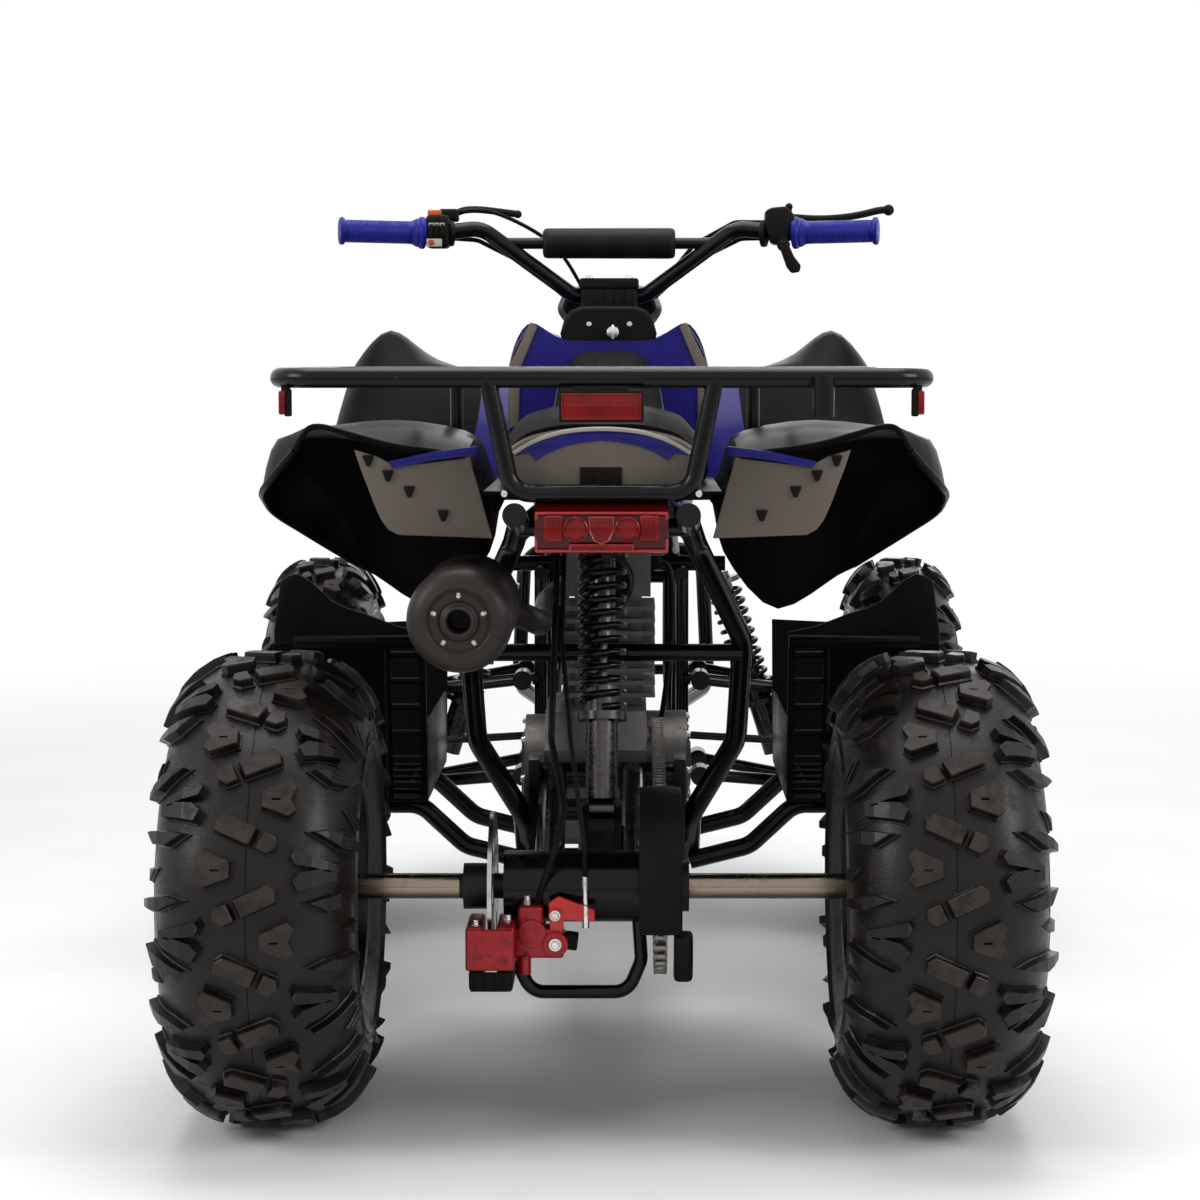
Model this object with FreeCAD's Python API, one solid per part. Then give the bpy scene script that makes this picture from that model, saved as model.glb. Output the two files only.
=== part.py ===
import FreeCAD
import Part
import math
import os

V = FreeCAD.Vector

# Quad bike. Millimetres, +X to the rider's right, +Y forward, +Z up, and the
# origin on the ground under the middle of the machine.

# Wheels and axles
wheelbase = 1130.0
rear_axle_y = -590.0
front_axle_y = rear_axle_y + wheelbase
rear_tyre_r = 279.0
rear_tyre_w = 240.0
rear_wheel_x = 386.0
front_tyre_r = 292.0
front_tyre_w = 170.0
front_wheel_x = 453.0
rim_r = 133.0
rim_wall = 11.0
tyre_bars = 22
lug_h = 12.0
axle_r = 15.0
hub_flange_r = 62.0
hub_boss_r = 30.0
nave_offset = 20.0
nave_t = 8.0
nave_windows = 8
nave_window_at = 91.0
nave_window_r = 10.5

# Handlebar
bar_r = 11.0
bar_half = 372.0
bar_z = 1075.0
cross_z = bar_z - 15
cross_y = 126.0
cross_half = 150.0
pad_half = 95.0
grip_r = 16.5
grip_len = 117.0

# Steering
kingpin_x = 385.0
kingpin_r = 8.0
knuckle_half = 62.0
stem_r = 14.0
stem_top = (0.0, 140.0, bar_z - 90)
stem_foot = (0.0, front_axle_y - 85, 335.0)
steering_arm = 52.0
ball_spread = 15.0
ball_gap = 3.5
running_gap = 0.3

# Frame tubes
frame_r = 13.5
frame_bend = 60.0
rail_x = 110.0
rail_z = 228.0
engine_mount_y = (-120.0, 60.0)
upper_rail_z = 736.5
subframe_z = 728.5

# Bodywork
skin_t = 4.0
deck_z = 750.0
seat_gap = 0.5
deck_edge = 134.0
tank_half = 138.0

# Rear rack
rack_r = 11.0
rack_half = 359.0
rack_z = 878.0
rack_rear_y = -790.0
rack_depth = 350.0


def box(x0, x1, y0, y1, z0, z1):
    return Part.makeBox(x1 - x0, y1 - y0, z1 - z0, V(x0, y0, z0))


def rod(a, b, r):
    a, b = V(*a), V(*b)
    return Part.makeCylinder(r, (b - a).Length, a, b - a)


def ring(a, b, r_out, r_in):
    return rod(a, b, r_out).cut(rod(a, b, r_in))


def flip(shape):
    return shape.mirror(V(0, 0, 0), V(1, 0, 0))


def pair(shape):
    return [shape, flip(shape)]


def mirrored_points(points):
    return [(-x, y, z) for x, y, z in points]


def prism_x(outline, x0, x1):
    face = Part.Face(Part.makePolygon([V(x0, y, z) for y, z in outline + outline[:1]]))
    return face.extrude(V(x1 - x0, 0, 0))


def prism_y(outline, y0, y1):
    face = Part.Face(Part.makePolygon([V(x, y0, z) for x, z in outline + outline[:1]]))
    return face.extrude(V(0, y1 - y0, 0))


def prism_z(outline, z0, z1):
    face = Part.Face(Part.makePolygon([V(x, y, z0) for x, y in outline + outline[:1]]))
    return face.extrude(V(0, 0, z1 - z0))


def tube(points, r, bend):
    """Round bar along straight runs joined by arcs that are tangent to both."""
    pts = [V(*p) for p in points]
    edges = []
    start = pts[0]
    for before, corner, after in zip(pts, pts[1:], pts[2:]):
        back, ahead = before - corner, after - corner
        shortest = min(back.Length, ahead.Length)
        back.normalize()
        ahead.normalize()
        half_turn = (math.pi - back.getAngle(ahead)) / 2
        cut = min(bend * math.tan(half_turn), 0.45 * shortest)
        radius = cut / math.tan(half_turn)
        inward = (back + ahead).normalize()
        enter, leave = corner + back * cut, corner + ahead * cut
        middle = corner + inward * (radius / math.cos(half_turn) - radius)
        edges.append(Part.LineSegment(start, enter).toShape())
        edges.append(Part.Arc(enter, middle, leave).toShape())
        start = leave
    edges.append(Part.LineSegment(start, pts[-1]).toShape())
    circle = Part.Wire([Part.Circle(pts[0], pts[1] - pts[0], r).toShape()])
    return Part.Wire(edges).makePipeShell([circle], True, False)


def closed_solid(faces):
    solid = Part.makeSolid(Part.makeShell(faces))
    if solid.Volume < 0:
        solid.reverse()
    return solid


def triangle(a, b, c):
    return Part.Face(Part.makePolygon([a, b, c, a]))


def patch(a, b, c, d):
    return [triangle(a, b, c), triangle(a, c, d)]


def skin(sections):
    """Closed solid through flat sections that all have as many points."""
    rings = [[V(*p) for p in section] for section in sections]
    n = len(rings[0])
    faces = []
    for lower, upper in zip(rings, rings[1:]):
        for i in range(n):
            j = (i + 1) % n
            faces += patch(lower[i], lower[j], upper[j], upper[i])
    for cap in (rings[0], rings[-1]):
        faces.append(Part.Face(Part.makePolygon(cap + cap[:1])))
    return closed_solid(faces)


def sheet(rows, t, curved=False):
    """Moulded panel: a grid of points on its top face, t thick downwards."""
    top = [[V(*p) for p in row] for row in rows]
    m, n = len(top), len(top[0])
    normals = []
    for i in range(m):
        line = []
        for j in range(n):
            along = top[min(i + 1, m - 1)][j] - top[max(i - 1, 0)][j]
            across = top[i][min(j + 1, n - 1)] - top[i][max(j - 1, 0)]
            line.append(along.cross(across).normalize())
        normals.append(line)
    down = -1 if sum(v.z for line in normals for v in line) > 0 else 1
    low = [[p + v * (down * t) for p, v in zip(*lines)] for lines in zip(top, normals)]
    if curved:
        top, low = (refined_rows([[tuple(p) for p in line] for line in face]) for face in (top, low))
        top, low = ([[V(*p) for p in line] for line in face] for face in (top, low))
        m, n = len(top), len(top[0])
    faces = []
    for i in range(m - 1):
        for j in range(n - 1):
            faces += patch(top[i][j], top[i][j + 1], top[i + 1][j + 1], top[i + 1][j])
            faces += patch(low[i][j], low[i][j + 1], low[i + 1][j + 1], low[i + 1][j])
    for i in range(m - 1):
        for j in (0, n - 1):
            faces += patch(top[i][j], top[i + 1][j], low[i + 1][j], low[i][j])
    for j in range(n - 1):
        for i in (0, m - 1):
            faces += patch(top[i][j], top[i][j + 1], low[i][j + 1], low[i][j])
    return closed_solid(faces)


def eased(a, b, c, d):
    """Middle of the curve from b to c, which never swings past either of them."""
    before, here, after = b - a, c - b, d - c
    start = 2 * before * here / (before + here) if before * here > 0 else 0.0
    end = 2 * here * after / (here + after) if here * after > 0 else 0.0
    return (b + c) / 2 + (start - end) / 8


def refined(points, closed=False):
    """The points, with one more on a smooth curve between each two."""
    n = len(points)
    line = []
    for i in range(n if closed else n - 1):
        near = [i - 1, i, i + 1, i + 2]
        if closed:
            near = [k % n for k in near]
        else:
            near = [min(max(k, 0), n - 1) for k in near]
        a, b, c, d = (points[k] for k in near)
        line.append(b)
        line.append(tuple(eased(*axis) for axis in zip(a, b, c, d)))
    return line if closed else line + [points[-1]]


def refined_rows(rows, closed=False):
    """A grid of points refined along its rows and from row to row."""
    rows = [refined(row, closed) for row in rows]
    columns = [refined(column) for column in zip(*rows)]
    return [list(row) for row in zip(*columns)]


def section(y, half_outline):
    """Symmetric section at y from its right half, given from the bottom up."""
    right = [(x, y, z) for x, z in half_outline]
    left = [(-x, y, z) for x, z in reversed(half_outline)]
    return right + left


def faceted_ring(profile, facets, x_mid, y_mid, z_mid):
    """Ring of flat facets about a cross axis; one facet lies at the bottom."""
    grow = 1 / math.cos(math.pi / facets)
    rings = []
    for k in range(facets):
        angle = 2 * math.pi * (k + 0.5) / facets
        s, c = math.sin(angle) * grow, math.cos(angle) * grow
        rings.append([V(x_mid + x, y_mid + r * s, z_mid - r * c) for r, x in profile])
    faces = []
    n = len(profile)
    for k in range(facets):
        here, there = rings[k], rings[(k + 1) % facets]
        for i in range(n):
            j = (i + 1) % n
            corners = [here[i], here[j], there[j], there[i], here[i]]
            faces.append(Part.Face(Part.makePolygon(corners)))
    return closed_solid(faces)


def turned(profile, centre):
    """Solid of revolution about a cross axis from (radius, x) points."""
    cx, cy, cz = centre
    points = [V(cx + x, cy, cz + r) for r, x in profile + profile[:1]]
    return Part.Face(Part.makePolygon(points)).revolve(V(cx, cy, cz), V(1, 0, 0), 360)


def save(name, shapes):
    shape = shapes[0] if len(shapes) == 1 else Part.makeCompound(shapes)
    if not shape.isValid():
        print("not valid:", name)
    shape.exportStep("parts/" + name + ".step")


rear_axle_z = rear_tyre_r
front_axle_z = front_tyre_r


def tyre_profile(r, half, bead_half):
    """Closed carcass section as (radius, x); half is half the tyre's width."""
    side = [
        (r - lug_h - 0.5, 0.36 * half), (r - 34, 0.72 * half), (r - 85, 0.93 * half),
        (rim_r, bead_half),
    ]
    return [(q, -x) for q, x in side[::-1]] + side


def tread_bars(r, half):
    """Slanted blocks round the crown; every second one slants the other way."""
    long, wide, sink = 0.325 * half, 12.5, 6
    slant = math.radians(25)
    along = V(math.cos(slant), math.sin(slant), 0)
    across = V(-math.sin(slant), math.cos(slant), 0)
    corners = []
    for a, b in ((-1, -0.9), (0.85, -1), (1, 0.9), (-0.85, 1)):
        corners.append(along * (a * long) + across * (b * wide))
    foot = [(c.x * 1.05, c.y * 1.05, sink + lug_h - r) for c in corners]
    bar = skin([foot, [(c.x, c.y, -r) for c in corners]])
    return round_tyre(bar, tyre_bars)


def shoulder_lugs(r, half):
    """Wedge blocks on the shoulders beside the bars, left and right in turn."""
    tip, base = (0.49 * half, r - 2), (half, r - 62)
    run = math.hypot(base[0] - tip[0], base[1] - tip[1])
    inward = ((tip[1] - base[1]) / run, (base[0] - tip[0]) / run)
    rings = []
    for depth, draft in ((20, 3), (0, 0)):
        points = []
        for (x, q), u in ((tip, -8), (base, -26), (base, 26), (tip, 8)):
            u += math.copysign(draft, u)
            points.append((x - inward[0] * depth, u, -(q - inward[1] * depth)))
        rings.append(points)
    return round_tyre(skin(rings), tyre_bars)


def round_tyre(lug, count):
    """Copies of a lug from straight down round the X axis, mirrored in turn."""
    step = 360 / count
    lugs = []
    for k in range(count):
        piece = (flip(lug) if k % 2 else lug).copy()
        piece.rotate(V(0, 0, 0), V(1, 0, 0), k * step)
        lugs.append(piece)
    return lugs


def tyre(r, w, bead_half, centre):
    carcass = faceted_ring(tyre_profile(r, w / 2, bead_half), tyre_bars, 0, 0, 0)
    body = carcass.fuse(tread_bars(r, w / 2) + shoulder_lugs(r, w / 2)).removeSplitter()
    body.translate(V(*centre))
    return body


def rim_profile(half, bore_r):
    inner = rim_r - rim_wall
    plate = nave_offset + nave_t
    return [
        (rim_r, -half), (rim_r, half), (inner, half), (inner - 6, plate + 12),
        (inner - 22, plate), (bore_r, plate), (bore_r, nave_offset),
        (inner - 16, nave_offset), (inner, nave_offset - 16), (inner, -half),
    ]


def rim(bead_half, centre):
    """Steel rim with round windows in its nave plate."""
    body = turned(rim_profile(bead_half, hub_boss_r + running_gap), centre)
    x0, x1 = centre[0] + nave_offset - 10, centre[0] + nave_offset + nave_t + 10
    for k in range(nave_windows):
        angle = 2 * math.pi * (k + 0.5) / nave_windows
        y = centre[1] + nave_window_at * math.sin(angle)
        z = centre[2] + nave_window_at * math.cos(angle)
        body = body.cut(rod((x0, y, z), (x1, y, z), nave_window_r))
    return body


def rear_wheel_parts():
    centre = (rear_wheel_x, rear_axle_y, rear_axle_z)
    bead = rear_tyre_w / 2 - 22
    return tyre(rear_tyre_r, rear_tyre_w, bead, centre), rim(bead, centre)


def front_wheel_parts():
    centre = (front_wheel_x, front_axle_y, front_axle_z)
    bead = front_tyre_w / 2 - 18
    hub_in = kingpin_x + 24
    face_x = front_wheel_x + nave_offset
    y, z = front_axle_y, front_axle_z
    boss = rod((hub_in, y, z), (face_x + nave_t + 14, y, z), hub_boss_r)
    flange = rod((face_x - 8, y, z), (face_x, y, z), hub_flange_r)
    bore = rod((hub_in, y, z), (face_x + 6, y, z), spindle_r + running_gap)
    rubber = tyre(front_tyre_r, front_tyre_w, bead, centre)
    return rubber, rim(bead, centre), boss.fuse(flange).cut(bore)


spindle_r = 12.0
disc_x = -131.0
disc_r = 88.0
disc_t = 5.0
sprocket_x = 66.0
sprocket_r = 91.0
sprocket_t = 7.0
chain_links = 40
drive_y = -120.0
drive_z = 372.0
drive_r = 34.0
carrier_r = 42.0


def rear_axle_shaft():
    y, z = rear_axle_y, rear_axle_z
    end = rear_wheel_x + nave_offset + nave_t + 16
    face = rear_wheel_x + nave_offset
    shaft = rod((-end, y, z), (end, y, z), axle_r)
    parts = []
    for side in (-1, 1):
        parts.append(rod((side * (face - 70), y, z), (side * (face + nave_t + 6), y, z), hub_boss_r))
        parts.append(rod((side * (face - 10), y, z), (side * face, y, z), hub_flange_r))
    parts.append(rod((disc_x - 34, y, z), (disc_x - disc_t / 2, y, z), 27))
    parts.append(rod((sprocket_x + sprocket_t / 2, y, z), (sprocket_x + 34, y, z), 30))
    return shaft.fuse(parts).removeSplitter()


def axle_disc(x, r, t):
    y, z = rear_axle_y, rear_axle_z
    disc = ring((x - t / 2, y, z), (x + t / 2, y, z), r, axle_r)
    for k in range(6):
        angle = math.radians(60 * k + 30)
        hole_y = y + 0.66 * r * math.sin(angle)
        hole_z = z + 0.66 * r * math.cos(angle)
        disc = disc.cut(rod((x - t, hole_y, hole_z), (x + t, hole_y, hole_z), 0.17 * r))
    return disc


# Frame

main_tube = [
    (95, -795, subframe_z), (100, -560, 706), (110, -480, 676), (172, -350, 546),
    (166, -300, 412), (rail_x, -215, 300), (rail_x, -120, rail_z), (rail_x, front_axle_y - 160, rail_z),
    (100, front_axle_y + 60, 268), (95, front_axle_y + 150, 400), (95, front_axle_y + 100, 590),
]
upper_tube = [
    (95, front_axle_y + 100, 590), (72, front_axle_y - 210, upper_rail_z),
    (72, 60, upper_rail_z), (84, -200, 700),
    (105, -500, 690),
]


def frame_sides():
    return tube(main_tube, frame_r, frame_bend)


def frame_uppers(side):
    return tube(upper_tube, frame_r, frame_bend).cut(side)


def stem_at(z):
    """Centre of the steering stem at height z."""
    share = (stem_top[2] - z) / (stem_top[2] - stem_foot[2])
    return V(0, stem_top[1] + share * (stem_foot[1] - stem_top[1]), z)


stem_axis = (V(*stem_top) - V(*stem_foot)).normalize()
bush_r = stem_r + 9


def stem_bush(z, length):
    mid = stem_at(z)
    a, b = mid - stem_axis * (length / 2), mid + stem_axis * (length / 2)
    return ring(a, b, bush_r, stem_r + running_gap)


def frame_cross_members(tubes):
    """Tubes across the frame, each trimmed where it meets the side tubes."""
    spans = [
        (171, -352, 530, 11), (100, -560, 700, 10), (97, shock_top[1], shock_top[2], 10),
        (rail_x, front_axle_y - 160, rail_z, 11), (rail_x, engine_mount_y[1], rail_z, 11),
        (rail_x, engine_mount_y[0], rail_z, 11),
        (95, front_axle_y + 120, 545, 11), (98, front_axle_y + 80, 292, 11),
    ]
    parts = []
    for x, y, z, r in spans:
        parts.append(rod((-x, y, z), (x, y, z), r).cut(tubes))
    plate = box(pivot_plate_x, rail_x - 8, pivot_y - 42, pivot_y + 30, rail_z + 10, pivot_z + 26)
    parts += pair(plate.cut(tubes))
    shock_x = front_shock_top[0] + 14
    parts.append(rod((-shock_x, front_axle_y, front_shock_top[2]),
                     (shock_x, front_axle_y, front_shock_top[2]), 12).cut(tubes))
    return parts


front_shock_top = (165.0, front_axle_y, 575.0)
front_shock_foot = (265.0, front_axle_y, 262.0)


def head_bracket(tubes):
    """Plate between the upper tubes that holds the top steering bush."""
    mid = stem_at(upper_rail_z)
    plate = box(-72, 72, mid.y - 32, mid.y + 32, upper_rail_z - 6, upper_rail_z + 2)
    bush = stem_bush(upper_rail_z, 46)
    hole = rod(mid - stem_axis * 60, mid + stem_axis * 60, stem_r + running_gap)
    return plate.cut(hole).fuse(bush).cut(tubes)


def foot_bracket(tubes):
    """Bracket on the front rails that holds the lower steering bush."""
    mid = V(*stem_foot) - stem_axis * 34
    a, b = mid - stem_axis * 14, mid + stem_axis * 14
    bush = ring(a, b, bush_r, stem_r + running_gap)
    plate = box(-rail_x, rail_x, mid.y - 20, mid.y + 20, rail_z + 16, rail_z + 26)
    post = box(-18, 18, mid.y - 14, mid.y + 14, rail_z + 26, mid.z - 4)
    hole = rod(mid - stem_axis * 14, mid + stem_axis * 60, stem_r + 1)
    return plate.fuse([post]).cut(hole).fuse(bush).cut(tubes)


# Rear suspension

pivot_y = -205.0
pivot_z = 352.0
pivot_plate_x = 88.0
shock_top = (-4.0, -400.0, 692.0)


def axle_carrier():
    y, z = rear_axle_y, rear_axle_z
    left, right = disc_x + 14, sprocket_x - 14
    return ring((left, y, z), (right, y, z), carrier_r, axle_r + running_gap)


def swingarm(carrier):
    y, z = rear_axle_y, rear_axle_z
    arms = []
    for x0, x1 in ((-70, -66), (34, 34)):
        arms.append(rod((x0, pivot_y, pivot_z), (x1, y + 20, z + 6), 18))
    cross = rod((-pivot_plate_x, pivot_y, pivot_z), (pivot_plate_x, pivot_y, pivot_z), 17)
    brace = rod((-68, -330, 326), (34, -330, 326), 15)
    ear = prism_x([(-540, z + 20), (-420, z + 25), (-440, 359), (-500, 359)], -28, 20)
    slot = box(-19, 11, -560, -420, z + 52, 400)
    body = cross.fuse(arms + [brace, ear]).cut(slot)
    return body.cut(rod((-200, y, z), (200, y, z), carrier_r))


def coil(a, b, r_mid, r_wire, turns):
    """Spring of six-sided wire that just clears the plates at both of its ends."""
    d = (b - a).normalize()
    a = a + d * (r_wire + running_gap)
    rise = (b - a).Length - r_wire - running_gap
    side = d.cross(V(1, 0, 0)).normalize()
    other = d.cross(side)
    steps = round(12 * turns)
    rings = []
    for k in range(steps + 1):
        angle = 2 * math.pi * turns * k / steps
        out = side * math.cos(angle) + other * math.sin(angle)
        centre = a + out * r_mid + d * (rise * k / steps)
        rings.append([])
        for i in range(6):
            lean = math.pi * i / 3
            point = centre + out * (r_wire * math.cos(lean)) + d * (r_wire * math.sin(lean))
            rings[-1].append(tuple(point))
    return skin(rings)


def rear_shock():
    top, foot = V(*shock_top), V(-4, -478, 352)
    axis = (foot - top).normalize()
    upper_eye = ring((-16, top.y, top.z), (8, top.y, top.z), 20, 10.2)
    body = rod(top + axis * 14, top + axis * 140, 16)
    stem = rod(top + axis * 140, foot - axis * 60, 7)
    can = rod(foot - axis * 150, foot - axis * 12, 20)
    seat_top = rod(top + axis * 32, top + axis * 40, 31)
    seat_low = rod(foot - axis * 118, foot - axis * 108, 31)
    eye = rod((-19, foot.y, foot.z), (11, foot.y, foot.z), 12)
    solid = body.fuse([stem, can, seat_top, seat_low, eye, upper_eye])
    solid = solid.cut(rod((-30, top.y, top.z), (30, top.y, top.z), 10.2)).removeSplitter()
    return solid, coil(top + axis * 40, foot - axis * 118, 26.5, 5, 6.5)


def chain_path(count):
    """Points and outward normals, evenly spaced, on the pitch line of the chain."""
    rear, front = V(0, rear_axle_y, rear_axle_z), V(0, drive_y, drive_z)
    r_rear, r_front = sprocket_r + 7.5, drive_r + 6
    gap = (front - rear).Length
    base = math.atan2(front.z - rear.z, front.y - rear.y)
    lean = math.asin((r_rear - r_front) / gap)
    run = gap * math.cos(lean)
    half_rear, half_front = math.pi / 2 + lean, math.pi / 2 - lean
    stretches = [2 * half_rear * r_rear, run, 2 * half_front * r_front, run]
    step = sum(stretches) / count
    low, high = base - half_front, base + half_front
    places = []
    for k in range(count):
        s = k * step
        if s < stretches[0]:
            angle, centre, r, slide = high + s / r_rear, rear, r_rear, 0
        elif s < sum(stretches[:2]):
            angle, centre, r, slide = low, rear, r_rear, s - stretches[0]
        elif s < sum(stretches[:3]):
            angle, centre, r, slide = low + (s - sum(stretches[:2])) / r_front, front, r_front, 0
        else:
            angle, centre, r, slide = high, front, r_front, s - sum(stretches[:3])
        normal = V(0, math.cos(angle), math.sin(angle))
        forward = V(0, -normal.z, normal.y)
        places.append((centre + normal * r + forward * slide, normal))
    return places


def chain_loop():
    """Drive chain as one band round both sprockets, waisted between its pins."""
    outer, inner = [], []
    for k, (point, normal) in enumerate(chain_path(2 * chain_links)):
        half = 5.5 if k % 2 else 3.6
        out, back = point + normal * half, point - normal * half
        outer.append((out.y, out.z))
        inner.append((back.y, back.z))
    x0, x1 = sprocket_x - 8, sprocket_x + 8
    return prism_x(outer, x0, x1).cut(prism_x(inner, x0 - 1, x1 + 1))


def chain_guard():
    """Curved cover over the rear of the chain."""
    outline, inline = [], []
    r_out, r_in = sprocket_r + 26, sprocket_r + 20
    for k in range(9):
        a = math.radians(86 + 14 * k)
        outline.append((rear_axle_y + r_out * math.cos(a), rear_axle_z + r_out * math.sin(a)))
        inline.append((rear_axle_y + r_in * math.cos(a), rear_axle_z + r_in * math.sin(a)))
    band = prism_x(outline + inline[::-1], sprocket_x - 24, sprocket_x + 24)
    stay = prism_x([outline[3], outline[4], (rear_axle_y - 34, rear_axle_z + 10),
                    (rear_axle_y - 20, rear_axle_z + 34)], sprocket_x - 24, sprocket_x - 20)
    hole = rod((0, rear_axle_y, rear_axle_z), (200, rear_axle_y, rear_axle_z), carrier_r)
    return band.fuse(stay).cut(hole)


# Engine

def engine(cross):
    case = prism_x([(-170, 262), (-140, 248), (110, 248), (150, 285), (150, 360), (90, 425),
                    (-120, 425), (-175, 380)], -84, 52)
    left_cover = rod((-112, -60, 335), (-84, -60, 335), 78)
    right_cover = rod((52, 12, 335), (108, 12, 335), 74)
    barrel = box(-46, 46, -46, 50, 425, 575)
    head = box(-58, 58, -62, 66, 575, 640)
    fins = []
    for k in range(8):
        z = 437 + 17 * k
        fins.append(box(-64, 64, -66, 70, z, z + 6))
    mounts = [box(-40, 40, y - 12, y + 12, rail_z, 256) for y in engine_mount_y]
    drive = rod((52, drive_y, drive_z), (sprocket_x + 4, drive_y, drive_z), drive_r - running_gap)
    body = case.fuse([left_cover, right_cover, barrel, head, drive] + mounts + fins)
    return body.cut(cross).removeSplitter()


muffler_y = (-775.0, -540.0)
muffler_x = -158.0
muffler_z = 610.0
muffler_r = 59.5
pipe_r = 16.0


def muffler():
    x, z = muffler_x, muffler_z
    rear, front = muffler_y
    can = rod((x, rear + 14, z), (x, front, z), muffler_r)
    back = V(0, -1, 0)
    dome = Part.makeCone(muffler_r, muffler_r - 4, 8, V(x, rear + 14, z), back)
    cap = Part.makeCone(muffler_r - 4, muffler_r - 16, 6, V(x, rear + 6, z), back)
    nose = Part.makeCone(muffler_r, pipe_r + 3, 30, V(x, front, z), V(0, 1, 0))
    spout = rod((x, rear - 5, z), (x, rear + 10, z), 17)
    outlet = rod((x, rear - 6, z), (x, rear + 60, z), 13)
    return can.fuse([dome, cap, nose, spout]).cut(outlet)


def exhaust_pipe():
    front = muffler_y[1] + 30
    return tube([(-20, 66, 606), (-20, 118, 606), (-88, 112, 556), (-88, -60, 545),
                 (-86, -300, 562), (-92, -445, 582), (muffler_x, front + 20, muffler_z),
                 (muffler_x, front, muffler_z)], pipe_r, 50)


# Bodywork

def seat():
    stations = [
        (-645, 84, 60, deck_z, 802), (-600, 106, 84, deck_z, 832), (-520, 122, 98, deck_z, 838),
        (-420, 124, 100, deck_z, 816), (-300, 120, 96, deck_z, 800), (-180, 104, 80, deck_z, 808),
        (-80, 88, 62, tank_rear_z[1], 850), (-10, 72, 48, tank_rear_z[2], 900),
        (18, 66, 40, tank_rear_z[3], 912),
    ]
    rows = []
    for y, low, top, z0, z1 in stations:
        z0 = z0 + seat_gap
        rows.append(section(y, [(low, z0), (low + 7, z0 + 0.45 * (z1 - z0)),
                                (top, z1 - 10), (0.55 * top, z1)]))
    return skin([refined(row, True) for row in rows])


tank_rear_z = (deck_z, 762.0, 786.0, 800.0)
cover_split = front_axle_y - 60


def tank_cover():
    tail = [(-180, 60, deck_z - 8, tank_rear_z[0]), (-80, 78, deck_z - 4, tank_rear_z[1]),
            (-10, 92, deck_z, tank_rear_z[2]), (19, 96, deck_z, tank_rear_z[3])]
    rows = []
    for y, w, z0, z1 in tail:
        rows.append(section(y, [(w * 0.7, z0), (w, z0 + 1), (w, z1 - 3), (w * 0.9, z1), (20, z1)]))
    rows += [
        section(19.5, [(96, 750), (tank_half, 800), (tank_half - 2, 889), (98, 945), (34, 951)]),
        section(120, [(96, 750), (tank_half, 800), (tank_half - 2, 889), (98, 940), (34, 946)]),
        section(front_axle_y - 310, [(96, 750), (tank_half - 8, 805), (tank_half - 8, 872),
                                     (92, 918), (34, 924)]),
        section(front_axle_y - 190, [(88, 750), (tank_half - 26, 800), (tank_half - 26, 850),
                                     (82, 884), (34, 890)]),
        section(cover_split, [(80, 750), (tank_half - 38, 790), (tank_half - 38, 826),
                              (72, 852), (34, 858)]),
    ]
    body = skin([refined(row, True) for row in rows])
    slot = rod(stem_at(600), stem_at(1100), bush_r + 4)
    return body.cut(slot).cut(box(-34, 34, 100, cover_split, 895, 960))


def nose_cover():
    rows = [
        section(cover_split + seat_gap, [(80, 750), (tank_half - 38, 790), (tank_half - 38, 826),
                                         (72, 852), (34, 858)]),
        section(front_axle_y + 100, [(110, 690), (tank_half + 2, 735), (tank_half - 6, 765),
                                     (90, 790), (34, 796)]),
        section(front_axle_y + 240, [(110, 630), (132, 665), (118, 700), (80, 722), (34, 728)]),
        section(front_axle_y + 295, [(80, 628), (96, 650), (84, 674), (60, 688), (28, 692)]),
    ]
    return skin(refined_rows(rows, True))


def front_fender(cutters):
    """Both front fenders; the rows are given forward of the front axle."""
    rows = [
        [(-205, -332, 600), (-300, -334, 640), (-388, -330, 694), (-400, -324, 688)],
        [(-150, -304, 700), (-285, -308, 728), (-390, -300, 748), (-404, -292, 736)],
        [(-120, -255, 800), (-265, -260, 812), (-380, -250, 800), (-410, -240, 770)],
        [(-100, -190, 850), (-265, -195, 885), (-360, -185, 880), (-398, -175, 840)],
        [(-90, -110, 845), (-265, -120, 892), (-336, -120, 936), (-387, -110, 887)],
        [(-80, 20, 815), (-230, 20, 850), (-335, 20, 880), (-405, 20, 820)],
        [(-80, 150, 765), (-200, 160, 790), (-310, 160, 790), (-395, 150, 735)],
        [(-70, 250, 700), (-150, 260, 712), (-250, 260, 700), (-330, 250, 660)],
    ]
    rows = [[(x, front_axle_y + y, z) for x, y, z in row] for row in rows]
    left = sheet(rows, skin_t, True).cut(cutters)
    biggest = max(left.Solids, key=lambda s: s.Volume)
    return pair(biggest)


def rear_fender():
    def row(y, zc, inner, mid, outer, lip):
        right = [(deck_edge, y, zc), (deck_edge + 18, y, inner), mid, outer, lip]
        return mirrored_points(right[::-1]) + right
    rows = [
        row(-698, deck_z, 790, (234, -698, 800), (325, -698, 826), (346, -694, 796)),
        row(-640, deck_z, 800, (250, -640, 815), (372, -632, 806), (389, -625, 752)),
        row(-520, deck_z, 806, (250, -520, 826), (384, -520, 804), (407, -515, 734)),
        row(-420, deck_z, 798, (255, -410, 812), (378, -420, 784), (409, -440, 716)),
        row(-340, deck_z, 770, (250, -325, 765), (352, -340, 738), (382, -380, 689)),
        row(-290, deck_z - 10, 725, (240, -275, 700), (326, -300, 688), (346, -330, 660)),
        row(-255, deck_z - 30, 660, (225, -240, 604), (300, -255, 632), (318, -262, 636)),
    ]
    return sheet(rows, skin_t, True)


def rear_side_panels():
    outline = [(139, 799), (225, 777), (279, 799), (230, 701), (124, 696)]
    return pair(prism_y(outline, -702, -698))


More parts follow.
